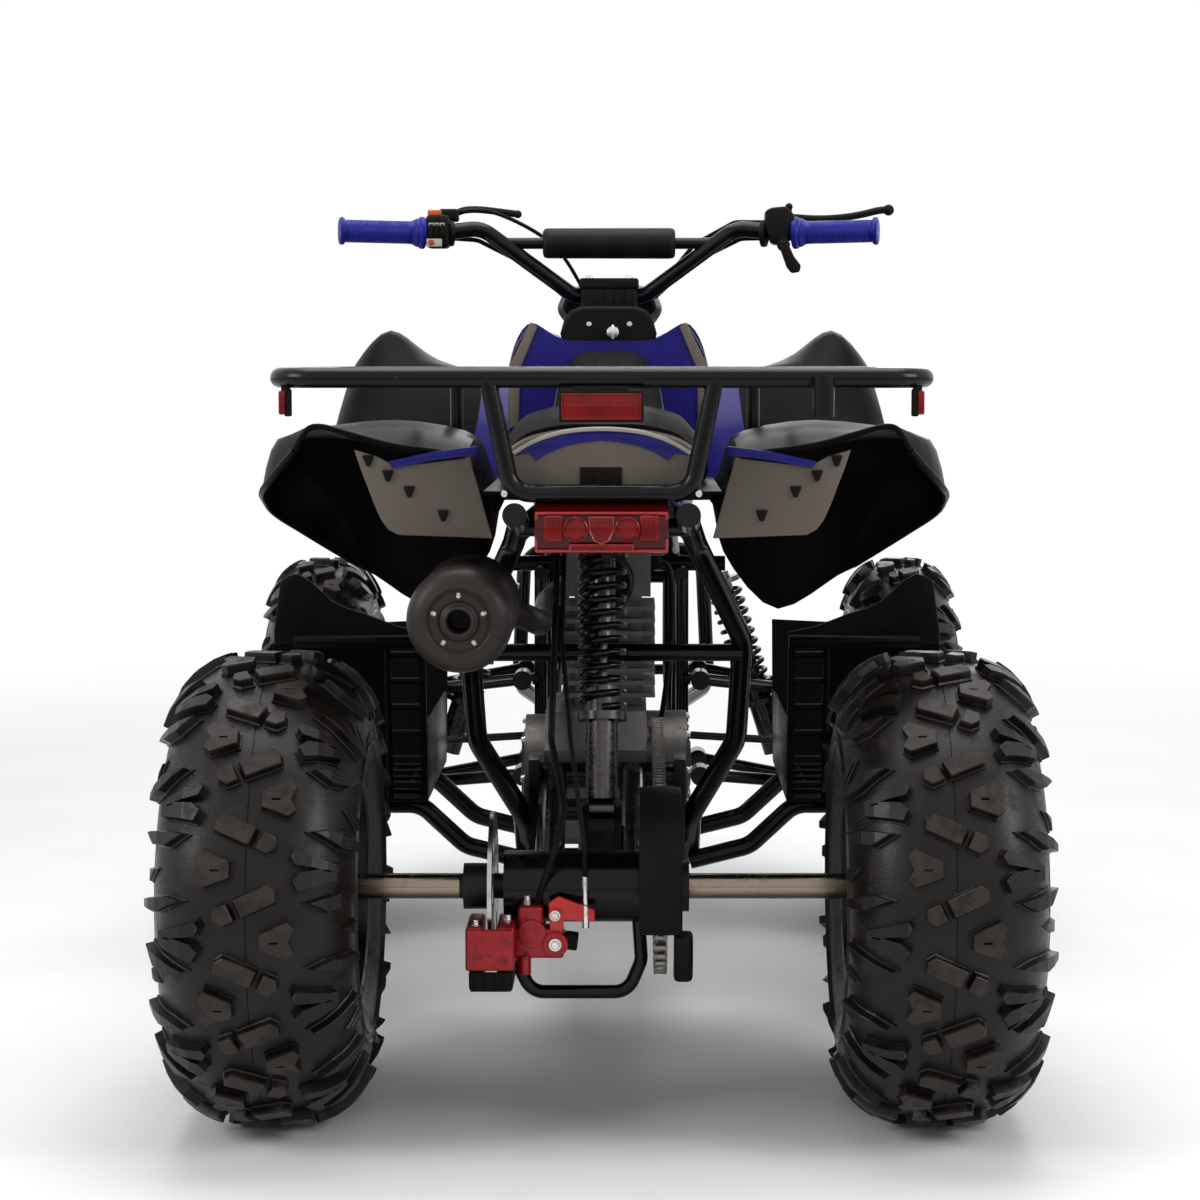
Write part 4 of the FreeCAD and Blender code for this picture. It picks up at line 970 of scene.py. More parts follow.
def wrapped(piece, section, crown, turn, flipped):
    """Copy of a flat stretch of tread, bent round the carcass and turned to its place."""
    twin = twin_of(piece)
    for vertex in twin.data.vertices:
        s, u, h = vertex.co
        s = -s if flipped else s
        point, normal = section.at(abs(s))
        across = (point.x + h * normal.x) * math.copysign(1, s)
        reach = point.y + h * normal.y
        angle = u / crown + turn
        vertex.co = (across, -reach * math.cos(angle), reach * math.sin(angle))
    if flipped:
        twin.data.flip_normals()
    return twin


MOULD_LINE = 0.0012
SIDE_RIBS = [(0.160, 0.0016), (0.172, 0.0022)]


def tyre(name, outline, radius, narrow, phase):
    """A whole tyre about the X axis at the origin: carcass, ribs and lugs."""
    section = TreadSection(outline)
    crown = radius - LUG_HEIGHT
    half = [(r, x) for x, r in outline]
    ring = [(r, -x) for r, x in half[:0:-1]] + half
    carcass = lathe("carcass", ring + ring[:1], ORIGIN, RIGHT, 72, 60)
    subdivide(carcass, 1)
    ridge = [(crown - 0.002, -0.0008), (crown + MOULD_LINE, 0), (crown - 0.002, 0.0008)]
    parts = [carcass, lathe("rib", ridge + ridge[:1], ORIGIN, RIGHT, 96)]
    for s, size in SIDE_RIBS:
        for side in (-1, 1):
            point, normal = section.at(s * narrow)
            x, r, nx = point.x * side, point.y, normal.x * side
            ridge = [(r + 0.002, x - nx * 0.001), (r, x + nx * size),
                     (r - 0.002, x - nx * 0.001)]
            parts.append(lathe("side_rib", ridge + ridge[:1], ORIGIN, RIGHT, 96))
    flat = half_pitch(LUG_HEIGHT, math.tau * radius / BARS_ROUND, narrow)
    for k in range(BARS_ROUND):
        turn = phase - math.tau * k / BARS_ROUND
        parts.append(wrapped(flat, section, radius, turn, k % 2 == 1))
    bpy.data.objects.remove(flat)
    return joined(name, parts)


# Half sections of the carcass, from the crown to the bead
REAR_SECTION = [(0, 267), (22, 266.6), (45, 265), (60, 261), (74, 254), (86, 244), (97, 231),
                (105, 216), (110, 200), (111.5, 184), (110, 168), (105, 154), (99, 144),
                (97, 137), (92, 133)]
FRONT_SECTION = [(0, 280), (16, 279.6), (32, 278), (43, 274), (53, 267), (61.5, 257),
                 (69, 244), (75, 229), (78.5, 212), (79.5, 196), (78.5, 178), (75, 161),
                 (71, 148), (69, 138), (65, 133)]
FRONT_NARROWER = 0.71


class QUAD_OT_tyres(bpy.types.Operator):
    """Models the four tyres with their carcass, ribs and lugs."""

    bl_idname = "quad.tyres"
    bl_label = "Tyres"

    def execute(self, context):
        tyres = context.scene.quad_tyres
        low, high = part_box("rear_tyres")
        radius = (high.z - low.z) / 2
        place = Vector((high.x - tyres.rear_width / 2, (low.y + high.y) / 2, radius))
        rear = tyre("rear_tyre", metres(REAR_SECTION), radius, 1.0, tyres.phase)
        left = copied(rear, Matrix.Translation((-place.x, place.y, place.z)))
        rear.data.transform(Matrix.Translation(place))
        for piece, side in ((rear, "right"), (left, "left")):
            dressed("rear_" + side + "_tyre_dressed", [piece], "rear_axle", "tyre_rubber",
                    ["rear_tyres"])
        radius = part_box("front_right_tyre")[1].z / 2
        front = tyre("front_tyre", metres(FRONT_SECTION), radius, FRONT_NARROWER, tyres.phase)
        for side in ("right", "left"):
            node = "front_" + side + "_tyre"
            piece = copied(front, Matrix.Translation(middle_of(node)))
            dressed(node + "_dressed", [piece], "front_" + side + "_wheel", "front_rubber",
                    [node])
        bpy.data.objects.remove(front)
        return {"FINISHED"}


# Rims

WINDOWS, WINDOW_REACH, WINDOW_RADIUS = 8, 0.091, 0.0105
NUTS, NUT_REACH = 4, 0.050


def rim(name, half, tyres):
    """Steel rim about the X axis: rolled lips, drop centre, dished nave and windows."""
    r, wall, nave = tyres.rim_radius, tyres.rim_wall, tyres.nave
    outline = [
        (r - 0.001, -half), (r + 0.003, -half + 0.002), (r + 0.0035, -half + 0.005),
        (r - 0.001, -half + 0.010), (r - 0.002, -half + 0.024), (r - 0.006, -half + 0.028),
        (r - 0.009, 0), (r - 0.006, half - 0.028), (r - 0.002, half - 0.024),
        (r - 0.001, half - 0.010), (r + 0.0035, half - 0.005), (r + 0.003, half - 0.002),
        (r - 0.001, half), (r - wall + 0.003, half - 0.002), (r - wall, half - 0.008),
        (r - wall, nave + 0.020), (r - wall - 0.006, nave + 0.012),
        (r - wall - 0.022, nave + 0.008), (0.078, nave + 0.010), (0.070, nave + 0.0085),
        (0.0305, nave + 0.008), (0.0305, nave), (0.070, nave), (0.078, nave + 0.002),
        (r - wall - 0.020, nave), (r - wall - 0.001, nave - 0.014), (r - wall, -half + 0.008),
        (r - wall + 0.003, -half + 0.002), (r - 0.001, -half),
    ]
    body = lathe("body", outline, ORIGIN, RIGHT, 64)
    for z, y in around(WINDOWS, WINDOW_REACH, 0.5):
        cut(body, bar("window", (nave - 0.03, y, z), (nave + 0.04, y, z), WINDOW_RADIUS, 20))
    parts = [smooth(body)]
    for z, y in around(NUTS, NUT_REACH, 0.5):
        foot = (nave + 0.008, y, z)
        parts.append(bolt("nut", foot, RIGHT, 0.0095, 0.011))
        parts.append(bar("stud", foot, (nave + 0.026, y, z), 0.005, 12, 0.0008))
    return joined(name, parts)


def bolt(name, foot, axis, radius, height):
    """Hexagon head with a washer under it and a chamfered top."""
    foot, axis = Vector(foot), Vector(axis).normalized()
    washer = bar("washer", foot, foot + axis * height * 0.2, radius * 1.45, 20)
    head = bar("head", foot, foot + axis * height, radius * 1.08, 6)
    soften(head, radius * 0.13, 1)
    return joined(name, [head, washer])


class QUAD_OT_rims(bpy.types.Operator):
    """Models the four rims with their windows and wheel nuts."""

    bl_idname = "quad.rims"
    bl_label = "Rims"

    def execute(self, context):
        tyres = context.scene.quad_tyres
        low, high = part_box("rear_tyres")
        centre = Vector((high.x - tyres.rear_width / 2, (low.y + high.y) / 2,
                         (low.z + high.z) / 2))
        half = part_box("rear_rims")[1].x - centre.x
        for piece, side in self.pair(half, centre, tyres):
            dressed("rear_" + side + "_rim_dressed", [piece], "rear_axle", "rim_black",
                    ["rear_rims"])
        low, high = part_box("front_right_rim")
        for piece, side in self.pair((high.x - low.x) / 2, (low + high) / 2, tyres):
            dressed("front_" + side + "_rim_dressed", [piece], "front_" + side + "_wheel",
                    "rim_black", ["front_" + side + "_rim"])
        return {"FINISHED"}

    def pair(self, half, centre, tyres):
        right = rim("rim", half, tyres)
        right.data.transform(Matrix.Translation(centre))
        return (right, "right"), (copied(right, MIRROR), "left")


# Smooth rows for the moulded covers

def eased(a, b, c, d, t):
    """Value t of the way from b to c, on a curve that never swings past either."""
    before, here, after = b - a, c - b, d - c
    start = 2 * before * here / (before + here) if before * here > 0 else 0.0
    end = 2 * here * after / (here + after) if here * after > 0 else 0.0
    return (b + here * t * t * (3 - 2 * t) + start * t * (1 - t) ** 2
            - end * t * t * (1 - t))


def dense(points, parts, closed=False):
    """The points, with more of them on smooth curves between."""
    n = len(points)
    line = []
    for i in range(n if closed else n - 1):
        near = [i - 1, i, i + 1, i + 2]
        near = [k % n if closed else min(max(k, 0), n - 1) for k in near]
        a, b, c, d = (points[k] for k in near)
        for k in range(parts):
            line.append(tuple(eased(*axis, k / parts) for axis in zip(a, b, c, d)))
    return line if closed else line + [tuple(points[-1])]


def dense_rows(rows, across, along, closed=False):
    rows = [dense(row, across, closed) for row in rows]
    columns = [dense(column, along) for column in zip(*rows)]
    return [list(row) for row in zip(*columns)]


def shell(name, rings):
    """Closed skin through rings of equally many points, with both ends filled."""
    piece = moulding(name, [ring + ring[:1] for ring in rings], 0)
    with editing(piece):
        bpy.ops.mesh.remove_doubles(threshold=MERGED / 2)
        bpy.ops.mesh.select_all(action="DESELECT")
        bpy.ops.mesh.select_non_manifold()
        bpy.ops.mesh.edge_face_add()
        face_outwards()
    return smooth(piece, 40)


def screw(foot, axis, radius):
    """Round screw head with a cross socket's hollow."""
    height = 0.003
    head = [(0, height * 0.55), (radius * 0.3, height * 0.55), (radius * 0.45, height),
            (radius * 0.8, height * 0.9), (radius, height * 0.3), (radius, -0.002)]
    return lathe("screw", head, foot, axis, 16)


# Bodywork

FRONT_FENDER_ROWS = [
    [(-205, 208, 600), (-300, 206, 640), (-388, 210, 694), (-400, 216, 688)],
    [(-150, 236, 700), (-285, 232, 728), (-390, 240, 748), (-404, 248, 736)],
    [(-120, 285, 800), (-265, 280, 812), (-380, 290, 800), (-410, 300, 770)],
    [(-100, 350, 850), (-265, 345, 885), (-360, 355, 880), (-398, 365, 840)],
    [(-90, 430, 845), (-265, 420, 892), (-336, 420, 936), (-387, 430, 887)],
    [(-80, 560, 815), (-230, 560, 850), (-335, 560, 880), (-405, 560, 820)],
    [(-80, 690, 765), (-200, 700, 790), (-310, 700, 790), (-395, 690, 735)],
    [(-70, 790, 700), (-150, 800, 712), (-250, 800, 700), (-330, 790, 660)],
]


def rear_fender_rows(deck, edge):
    """Right half of the rear mudguard and deck, from the tail to the footwell."""
    stations = [
        (-698, deck, 790, (234, -698, 800), (325, -698, 826), (346, -694, 796)),
        (-640, deck, 800, (250, -640, 815), (372, -632, 806), (389, -625, 752)),
        (-520, deck, 806, (250, -520, 826), (384, -520, 804), (407, -515, 734)),
        (-420, deck, 798, (255, -410, 812), (378, -420, 784), (409, -440, 716)),
        (-340, deck, 770, (250, -325, 765), (352, -340, 738), (382, -380, 689)),
        (-290, deck - 10, 725, (240, -275, 700), (326, -300, 688), (346, -330, 660)),
        (-255, deck - 30, 652, (222, -240, 576), (298, -255, 622), (318, -262, 634)),
    ]
    return [[(0, y, zc), (edge, y, zc), (edge + 18, y, inner), mid, outer, lip]
            for y, zc, inner, mid, outer, lip in stations]


FRONT_BEADS = (0.0042, 0.0038)
SIDE_BEAD, TAIL_BEAD = 0.0045, 0.0035
TAIL_BEAD_POINTS = 15
ROOT_RISE = 0.0016


class QUAD_OT_fenders(bpy.types.Operator):
    """Models the front and rear mudguards with their rolled edges."""

    bl_idname = "quad.fenders"
    bl_label = "Mudguards"

    def execute(self, context):
        body = context.scene.quad_body
        self.front(body)
        self.rear(body)
        return {"FINISHED"}

    def front(self, body):
        """Both front mudguards, and the strips at their roots that match the covers."""
        lip, edge = FRONT_BEADS
        rows = dense_rows(metres_rows(FRONT_FENDER_ROWS), 5, 4)
        parts = [moulding("sheet", rows, body.skin)]
        for line, radius in (([row[-1] for row in rows], lip), (rows[-1], edge), (rows[0], edge)):
            parts.append(wire("bead", line[::2], radius))
        left = joined("left", parts)
        dressed("front_fender_dressed", both(left), "chassis", "plastic_black", ["front_fender"])
        root = moulding("root", [row[:4] for row in rows[4:]], body.skin + ROOT_RISE)
        dressed("front_fender_roots", both(root), "chassis", "plastic_blue")

    def rear(self, body):
        half = rear_fender_rows(body.deck * 1000, body.deck_edge * 1000)
        full = [[(-x, y, z) for x, y, z in row[:0:-1]] + row for row in half]
        rows = dense_rows(metres_rows(full), 4, 4)
        parts = [moulding("deck", rows, body.skin)]
        for k in (0, -1):
            parts.append(wire("side_bead", [row[k] for row in rows][::2], SIDE_BEAD))
        parts.append(wire("tail_bead", rows[0][:TAIL_BEAD_POINTS:2], TAIL_BEAD))
        parts.append(wire("tail_bead", rows[0][-TAIL_BEAD_POINTS::2], TAIL_BEAD))
        dressed("rear_fender_dressed", parts, "chassis", "plastic_black", ["rear_fender"])


TANK_TAIL = [(-180, 60, 742, 750), (-80, 78, 746, 762), (-10, 92, 750, 786), (19, 96, 750, 800)]


def tank_rings(half):
    """Sections of the tank's cover, from under the seat to the nose."""
    rings = []
    for y, w, z0, z1 in TANK_TAIL:
        rings.append(section(y, [(w * 0.7, z0), (w, z0 + 1), (w, z1 - 3), (w * 0.9, z1),
                                 (20, z1)]))
    crown = [
        (19.5, [(96, 750), (half, 800), (half - 2, 889), (106, 947), (50, 922)]),
        (120, [(96, 750), (half, 800), (half - 2, 889), (102, 942), (46, 924)]),
        (230, [(96, 750), (half - 8, 805), (half - 8, 872), (94, 918), (40, 908)]),
        (350, [(88, 750), (half - 26, 800), (half - 26, 850), (82, 884), (34, 882)]),
        (480, [(80, 750), (half - 38, 790), (half - 38, 826), (72, 852), (34, 858)]),
    ]
    return rings, sections(crown)


NOSE_SECTIONS = [
    (480.5, [(80, 750), (100, 790), (100, 826), (72, 852), (34, 858)]),
    (640, [(110, 690), (140, 735), (132, 765), (90, 790), (34, 796)]),
    (780, [(110, 630), (132, 665), (118, 700), (80, 722), (34, 728)]),
    (835, [(80, 628), (96, 650), (84, 674), (60, 688), (28, 692)]),
]
STEM_HOLE = ((0, 0.326, 0.6), (0, 0.084, 1.1), 0.028, 32)
KEY_WELL = ((-0.034, 0.1, 0.896), (0.034, 0.5, 0.96))
BROW = [(136, 802), (137, 888), (107, 948), (98, 941), (122, 884), (124, 806)]
BROW_Y = 0.0185
DASH = [(60, 908, 0), (67, 932, 0), (62, 950, 0), (54, 964, 1), (38, 970, 1)]
DASH_STATIONS = ((29, 3), (34, 0), (70, 0), (80, 4))


class QUAD_OT_covers(bpy.types.Operator):
    """Models the blue covers of the tank and nose, and the trim between them."""

    bl_idname = "quad.covers"
    bl_label = "Tank and nose covers"

    def execute(self, context):
        tail, crown = tank_rings(context.scene.quad_body.tank_half * 1000)
        saddle = shell("saddle", [dense(ring, 5, True) for ring in tail])
        top = shell("top", dense_rows(crown, 6, 5, True))
        for piece in (saddle, top):
            cut(piece, bar("stem_hole", *STEM_HOLE))
        cut(top, block("well", *KEY_WELL))
        tank = smooth(joined("tank", [saddle, top]), 40)
        dressed("tank_cover_dressed", [tank], "chassis", "plastic_blue", ["tank_cover"])
        self.trim(crown)
        nose = shell("nose", dense_rows(sections(NOSE_SECTIONS), 6, 5, True))
        dressed("nose_cover_dressed", [nose], "chassis", "plastic_blue", ["nose_cover"])
        return {"FINISHED"}

    def trim(self, crown):
        """Grey panels on the flanks of the tank's cover, and the dash between its shoulders."""
        out = Vector((0.0012, 0, 0))
        rows = [[Vector(p) + out for p in ring[1:4]] for ring in crown[:4]]
        rows[0] = [p - Vector((0, 0.002, 0)) for p in rows[0]]
        rows = dense_rows([[tuple(p) for p in row] for row in rows], 5, 5)
        side = moulding("side", rows, 0.002, offset=1.0)
        brow = plate("brow", BROW, BROW_Y, 0.003, 0.0012)
        dressed("tank_side_covers", [*both(side), *both(brow)], "chassis", "plastic_grey")
        rings = [section(y, [(x - n, z - n * drop) for x, z, drop in DASH])
                 for y, n in DASH_STATIONS]
        dash = soften(shell("dash", rings), 0.002, 2, 50)
        dressed("dash", [dash], "chassis", "plastic_matt")
        key = [bar("barrel", (0.006, 0.031, 0.934), (0.006, 0.020, 0.934), 0.0085, 32, 0.001),
               block("key", (0.0045, 0.004, 0.924), (0.0075, 0.021, 0.944), 0.0008),
               block("plate", (-0.020, 0.0265, 0.916), (0.030, 0.030, 0.922), 0.0006)]
        key += [screw((x, 0.0305, 0.945), REAR, 0.0045) for x in (-0.027, 0.029)]
        dressed("ignition_lock", key, "chassis", "steel")


PANEL = [(149, 788), (232, 778), (253, 789), (279, 797), (272, 776), (264, 755), (257, 736),
         (249, 718), (241, 707), (230, 701), (124, 697), (144, 770)]
BAND = [(140, 801), (190, 795), (240, 784), (236, 776), (190, 785), (140, 791)]
RIVETS = [(263, 786), (241, 769), (217, 751), (179, 724)]
RIVET = [(-7, 5), (7, 5), (2, -8), (-2, -8)]
TAIL_SECTIONS = [
    (-646, [(100, 750), (112, 790), (80, 822), (30, 830)]),
    (-720, [(104, 750), (116, 788), (82, 820), (30, 828)]),
    (-768, [(98, 750), (110, 784), (78, 812), (28, 820)]),
]
ARCH_HALF = [(0, 824), (24, 823), (46, 820), (66, 814), (84, 806), (97, 797), (89, 799),
             (80, 800), (72, 792), (58, 801), (40, 808), (20, 812), (0, 814)]


class QUAD_OT_tail(bpy.types.Operator):
    """Models the grey tail panels, their blue bands, rivets, cover and latch plate."""

    bl_idname = "quad.tail"
    bl_label = "Tail panels"

    def execute(self, context):
        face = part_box("rear_side_panels")[1].y
        panels = both(plate("panel", PANEL, face, 0.004, 0.0015))
        dressed("rear_side_panels_dressed", panels, "chassis", "plastic_grey",
                ["rear_side_panels"])
        bands = both(plate("band", BAND, face - 0.004, 0.004, 0.001))
        dressed("side_panel_bands_dressed", bands, "chassis", "plastic_blue",
                ["side_panel_bands"])
        rivets = []
        for x, z in RIVETS:
            outline = [(x + a, z + b) for a, b in RIVET]
            rivets += both(plate("rivet", outline, face - 0.003, 0.005, 0.0022))
        dressed("panel_rivets", rivets, "chassis", "plastic_matt")
        cover = shell("cover", dense_rows(sections(TAIL_SECTIONS), 6, 3, True))
        dressed("tail_cover_dressed", [soften(cover, 0.004, 2, 50)], "chassis", "plastic_grey",
                ["tail_cover"])
        self.arch(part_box("tail_cover")[0].y)
        return {"FINISHED"}

    def arch(self, rear):
        """Blue arch on the cover's rear face, its pale lip and the seat's latch."""
        outline = [(x, z - 5) for x, z in ARCH_HALF]
        outline += [(-x, z) for x, z in outline[-2:0:-1]]
        arch = plate("arch", outline, rear + 0.002, 0.004, 0.0012)
        dressed("tail_arch", [arch], "chassis", "plastic_blue")
        crest = [(x, z - 2) for x, z in ARCH_HALF[:6]]
        crest = [(-x, z) for x, z in crest[:0:-1]] + crest
        lip = wire("lip", at_rear(crest, rear + 0.001), 0.0026)
        dressed("tail_lip", [lip], "chassis", "pale_plastic", ())
        latch = [block("plate", (-0.024, rear - 0.0016, 0.752), (0.022, rear + 0.002, 0.780),
                       0.0006),
                 block("catch", (-0.008, rear - 0.0034, 0.757), (0.006, rear, 0.774), 0.0012)]
        dressed("seat_latch", latch, "chassis", "plastic_matt")


# Lamps and reflectors

def framed(corners, radius):
    """Closed run of round bars with a ball at each corner."""
    parts = []
    for a, b in zip(corners, corners[1:] + corners[:1]):
        parts.append(bar("edge", a, b, radius, 10))
        parts.append(ball("corner", a, radius, 10))
    return joined("frame", parts)


def lens_disc(x, y, z, radius):
    """Round domed lens in a raised rim, facing the rear."""
    outline = [(0, 0.0026), (radius * 0.5, 0.0022), (radius * 0.82, 0.0008),
               (radius * 0.86, 0.0012), (radius * 0.93, 0.0036), (radius, 0.0028), (radius, -0.006)]
    return lathe("lens", outline, (x, y, z), REAR, 40)


LAMP_SIDE = [(-800, 690), (-806, 716), (-800, 732), (-782, 742), (-752, 742), (-752, 684)]
LAMP_EDGE = [(-71, 690), (71, 690), (71, 731), (-71, 731)]
LAMP_SHIELD = [(-13, 727), (13, 727), (13, 712), (8, 702), (0, 698), (-8, 702), (-13, 712)]
LAMP_STRIP = [(-35, 690), (35, 690), (34, 697), (-34, 697)]
LAMP_HALF, LAMP_FACE = 0.073, -0.8045
REFLECTOR_LOW, REFLECTOR_HIGH = Vector((-0.046, -0.806, 0.830)), Vector((0.046, -0.797, 0.864))
REFLECTOR_EDGE = [(-42, 834), (42, 834), (42, 860), (-42, 860)]
SIDE_BACK = ((0.338, -0.787, 0.836), (0.346, -0.780, 0.866), 0.002)
SIDE_LENS = ((0.345, -0.789, 0.838), (0.352, -0.781, 0.864), 0.002)


class QUAD_OT_lamps(bpy.types.Operator):
    """Models the tail lamp and the three reflectors."""

    bl_idname = "quad.lamps"
    bl_label = "Lamps and reflectors"

    def execute(self, context):
        side = [(-LAMP_HALF, y, z) for y, z in metres(LAMP_SIDE)]
        case = slab("case", side, (2 * LAMP_HALF, 0, 0), 0.002)
        dressed("case", [case], "chassis", "lamp_rim", ["tail_light"])
        face = LAMP_FACE
        parts = [lens_disc(x, face - 0.002, 0.714, 0.0135) for x in (-0.028, 0.028)]
        parts.append(plate("shield", LAMP_SHIELD, face, 0.003, 0.0009))
        for x in (-0.052, 0.052):
            parts.append(block("pod", (x - 0.011, face - 0.002, 0.700),
                               (x + 0.011, face + 0.004, 0.729), 0.004))
            for rib in (x - 0.005, x, x + 0.005):
                parts.append(bar("rib", (rib, face - 0.0022, 0.705),
                                 (rib, face - 0.0022, 0.724), 0.0011, 8))
        parts.append(plate("strip", LAMP_STRIP, face + 0.004, 0.004, 0.0009))
        dressed("tail_light_lens", parts, "chassis", "lens_red")
        # Raised rims round the lamp's edge, shield and strip; their pale red is a painted highlight
        # along each rim.
        lines = [framed(at_rear(outline, y), radius)
                 for outline, y, radius in ((LAMP_EDGE, face + 0.003, 0.0016),
                                            (LAMP_SHIELD, face - 0.003, 0.0008),
                                            (LAMP_STRIP, face, 0.0008))]
        dressed("tail_light_lines", lines, "chassis", "lens_line", ())
        self.reflectors()
        return {"FINISHED"}

    def reflectors(self):
        low, high = REFLECTOR_LOW, REFLECTOR_HIGH
        rim, depth = Vector((0.0025, 0, 0.0025)), Vector((0, 0.003, 0))
        backs = [block("back", low + depth, high, 0.002), *both(block("back", *SIDE_BACK))]
        lenses = [block("lens", low + rim, high - rim - depth, 0.0012),
                  framed(at_rear(REFLECTOR_EDGE, low.y), 0.0009),
                  *both(block("lens", *SIDE_LENS))]
        dressed("reflector_backs", backs, "chassis", "plastic_matt", ["reflectors"])
        dressed("reflector_lenses", lenses, "chassis", "lens_red")


# Exhaust

MUFFLER_OUTLINE = [
    (0.0162, 0.511), (0.0195, 0.511), (0.030, 0.519), (0.047, 0.532), (0.0565, 0.5405),
    (0.0588, 0.546), (0.0588, 0.556), (0.0594, 0.558), (0.0594, 0.564), (0.0586, 0.566),
    (0.0586, 0.742), (0.0594, 0.744), (0.0594, 0.752), (0.0588, 0.7545), (0.0575, 0.760),
    (0.0545, 0.7655), (0.0495, 0.7700), (0.0435, 0.7730), (0.0375, 0.7745), (0.0355, 0.7735),
    (0.0345, 0.7720), (0.0325, 0.7720), (0.0315, 0.7735), (0.0250, 0.7745), (0.0225, 0.7735),
    (0.0215, 0.7725), (0.0185, 0.7745), (0.0176, 0.7790), (0.0160, 0.7800), (0.0140, 0.7795),
    (0.0132, 0.7760), (0.0130, 0.7250), (0, 0.7250),
]


class QUAD_OT_exhaust(bpy.types.Operator):
    """Models the muffler with its end dome, outlet and screws."""

    bl_idname = "quad.exhaust"
    bl_label = "Muffler"

    def execute(self, context):
        low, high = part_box("muffler")
        x, z = (low.x + high.x) / 2, (low.z + high.z) / 2
        can = lathe("can", MUFFLER_OUTLINE, (x, 0, z), REAR, 64)
        dressed("muffler_dressed", [can], "chassis", "exhaust_black", ["muffler"])
        screws = [bolt("screw", (a, -0.773, b), REAR, 0.0026, 0.003)
                  for a, b in around(5, 0.0282, 0.25, (x, z))]
        dressed("muffler_screws", screws, "chassis", "steel")
        return {"FINISHED"}


# Springs and chain

TURN_POINTS = 20


def spring(top, foot, start, end, radius, wire_radius, turns):
    """Spring on a damper, from start below its top eye to end above its foot."""
    top, foot = Vector(top), Vector(foot)
    axis = (foot - top).normalized()
    first, last = top + axis * (start + wire_radius), foot - axis * (end + wire_radius)
    side = axis.cross(Vector((1, 0, 0))).normalized()
    other = axis.cross(side)
    count = round(turns * TURN_POINTS)
    points = []
    for k in range(count + 1):
        angle = math.tau * k / TURN_POINTS
        points.append(first.lerp(last, k / count)
                      + (side * math.cos(angle) + other * math.sin(angle)) * radius)
    return wire("spring", points, wire_radius)


REAR_SHOCK = ((-0.004, -0.400, 0.692), (-0.004, -0.478, 0.352))
FRONT_SHOCK = ((0.165, 0.540, 0.575), (0.265, 0.540, 0.262))
CHAIN_PINS = 88
REAR_SPROCKET = (-0.590, 0.279, 0.0985)
DRIVE_SPROCKET = (-0.120, 0.372, 0.040)
AXLE = REAR_SPROCKET[:2]
CHAIN_X = 0.066
LINK_PLATE = 0.0014
OUTER_PLATES, INNER_PLATES = (-0.0075, 0.0061), (-0.0058, 0.0044)
TEETH, TOOTH_TIP, TOOTH_DEPTH = 39, 0.091, 0.006
SPROCKET_HALF, SPROCKET_HUB = 0.0035, 0.0055
HOLES, HOLE_REACH, HOLE_RADIUS = 6, 0.060, 0.013


def chain_places(count):
    """Places and headings, evenly spaced along the chain's pitch line."""
    rear, front = Vector((0, *REAR_SPROCKET[:2])), Vector((0, *DRIVE_SPROCKET[:2]))
    big, small = REAR_SPROCKET[2], DRIVE_SPROCKET[2]
    gap = (front - rear).length
    base = math.atan2(front.z - rear.z, front.y - rear.y)
    lean = math.asin((big - small) / gap)
    run = gap * math.cos(lean)
    round_rear, round_front = (math.pi + 2 * lean) * big, (math.pi - 2 * lean) * small
    low, high = base - math.pi / 2 + lean, base + math.pi / 2 - lean
    total = round_rear + round_front + 2 * run
    places = []
    for k in range(count):
        s = total * k / count
        if s < round_rear:
            angle, centre, reach, slide = high + s / big, rear, big, 0
        elif s < round_rear + run:
            angle, centre, reach, slide = low, rear, big, s - round_rear
        elif s < total - run:
            angle, centre, reach, slide = low + (s - round_rear - run) / small, front, small, 0
        else:
            angle, centre, reach, slide = high, front, small, s - (total - run)
        heading = Vector((0, -math.sin(angle), math.cos(angle)))
        normal = Vector((0, math.cos(angle), math.sin(angle)))
        places.append(centre + normal * reach + heading * slide)
    return places


def link_plate(pitch, x):
    """Waisted side plate of a chain link, from the origin one pitch along Y."""
    outline = []
    for middle, start in ((0, 90), (pitch, -90)):
        for k in range(7):
            angle = math.radians(start + 30 * k)
            outline.append((x, middle + 0.0052 * math.cos(angle), 0.0052 * math.sin(angle)))
        outline.append((x, pitch / 2, -0.0036 if middle == 0 else 0.0036))
    return slab("plate", outline, (LINK_PLATE, 0, 0))


def toothed():
    """Flat sprocket plate with rounded teeth and lightening holes."""
    outline = []
    for k in range(TEETH):
        for share, depth in ((0.0, 0), (0.22, 0), (0.42, TOOTH_DEPTH), (0.80, TOOTH_DEPTH)):
            angle = math.tau * (k + share) / TEETH
            reach = TOOTH_TIP - depth
            outline.append((CHAIN_X - SPROCKET_HALF, AXLE[0] + reach * math.cos(angle),
                            AXLE[1] + reach * math.sin(angle)))
    sprocket = slab("teeth", outline, (2 * SPROCKET_HALF, 0, 0))
    for y, z in around(HOLES, HOLE_REACH, 0, AXLE):
        cut(sprocket, bar("hole", (CHAIN_X - 0.02, y, z), (CHAIN_X + 0.02, y, z),
                          HOLE_RADIUS, 20))
    return smooth(sprocket, 30)


GUARD_REACH, GUARD_WALL, GUARD_MIDDLE = 0.117, 0.0045, 0.1145
GUARD_START = 86
SHOE = [(-703, 240), (-698, 206), (-680, 184), (-652, 180), (-642, 194), (-664, 214),
        (-678, 246)]
SHOE_X, SHOE_WIDTH = 0.081, 0.022


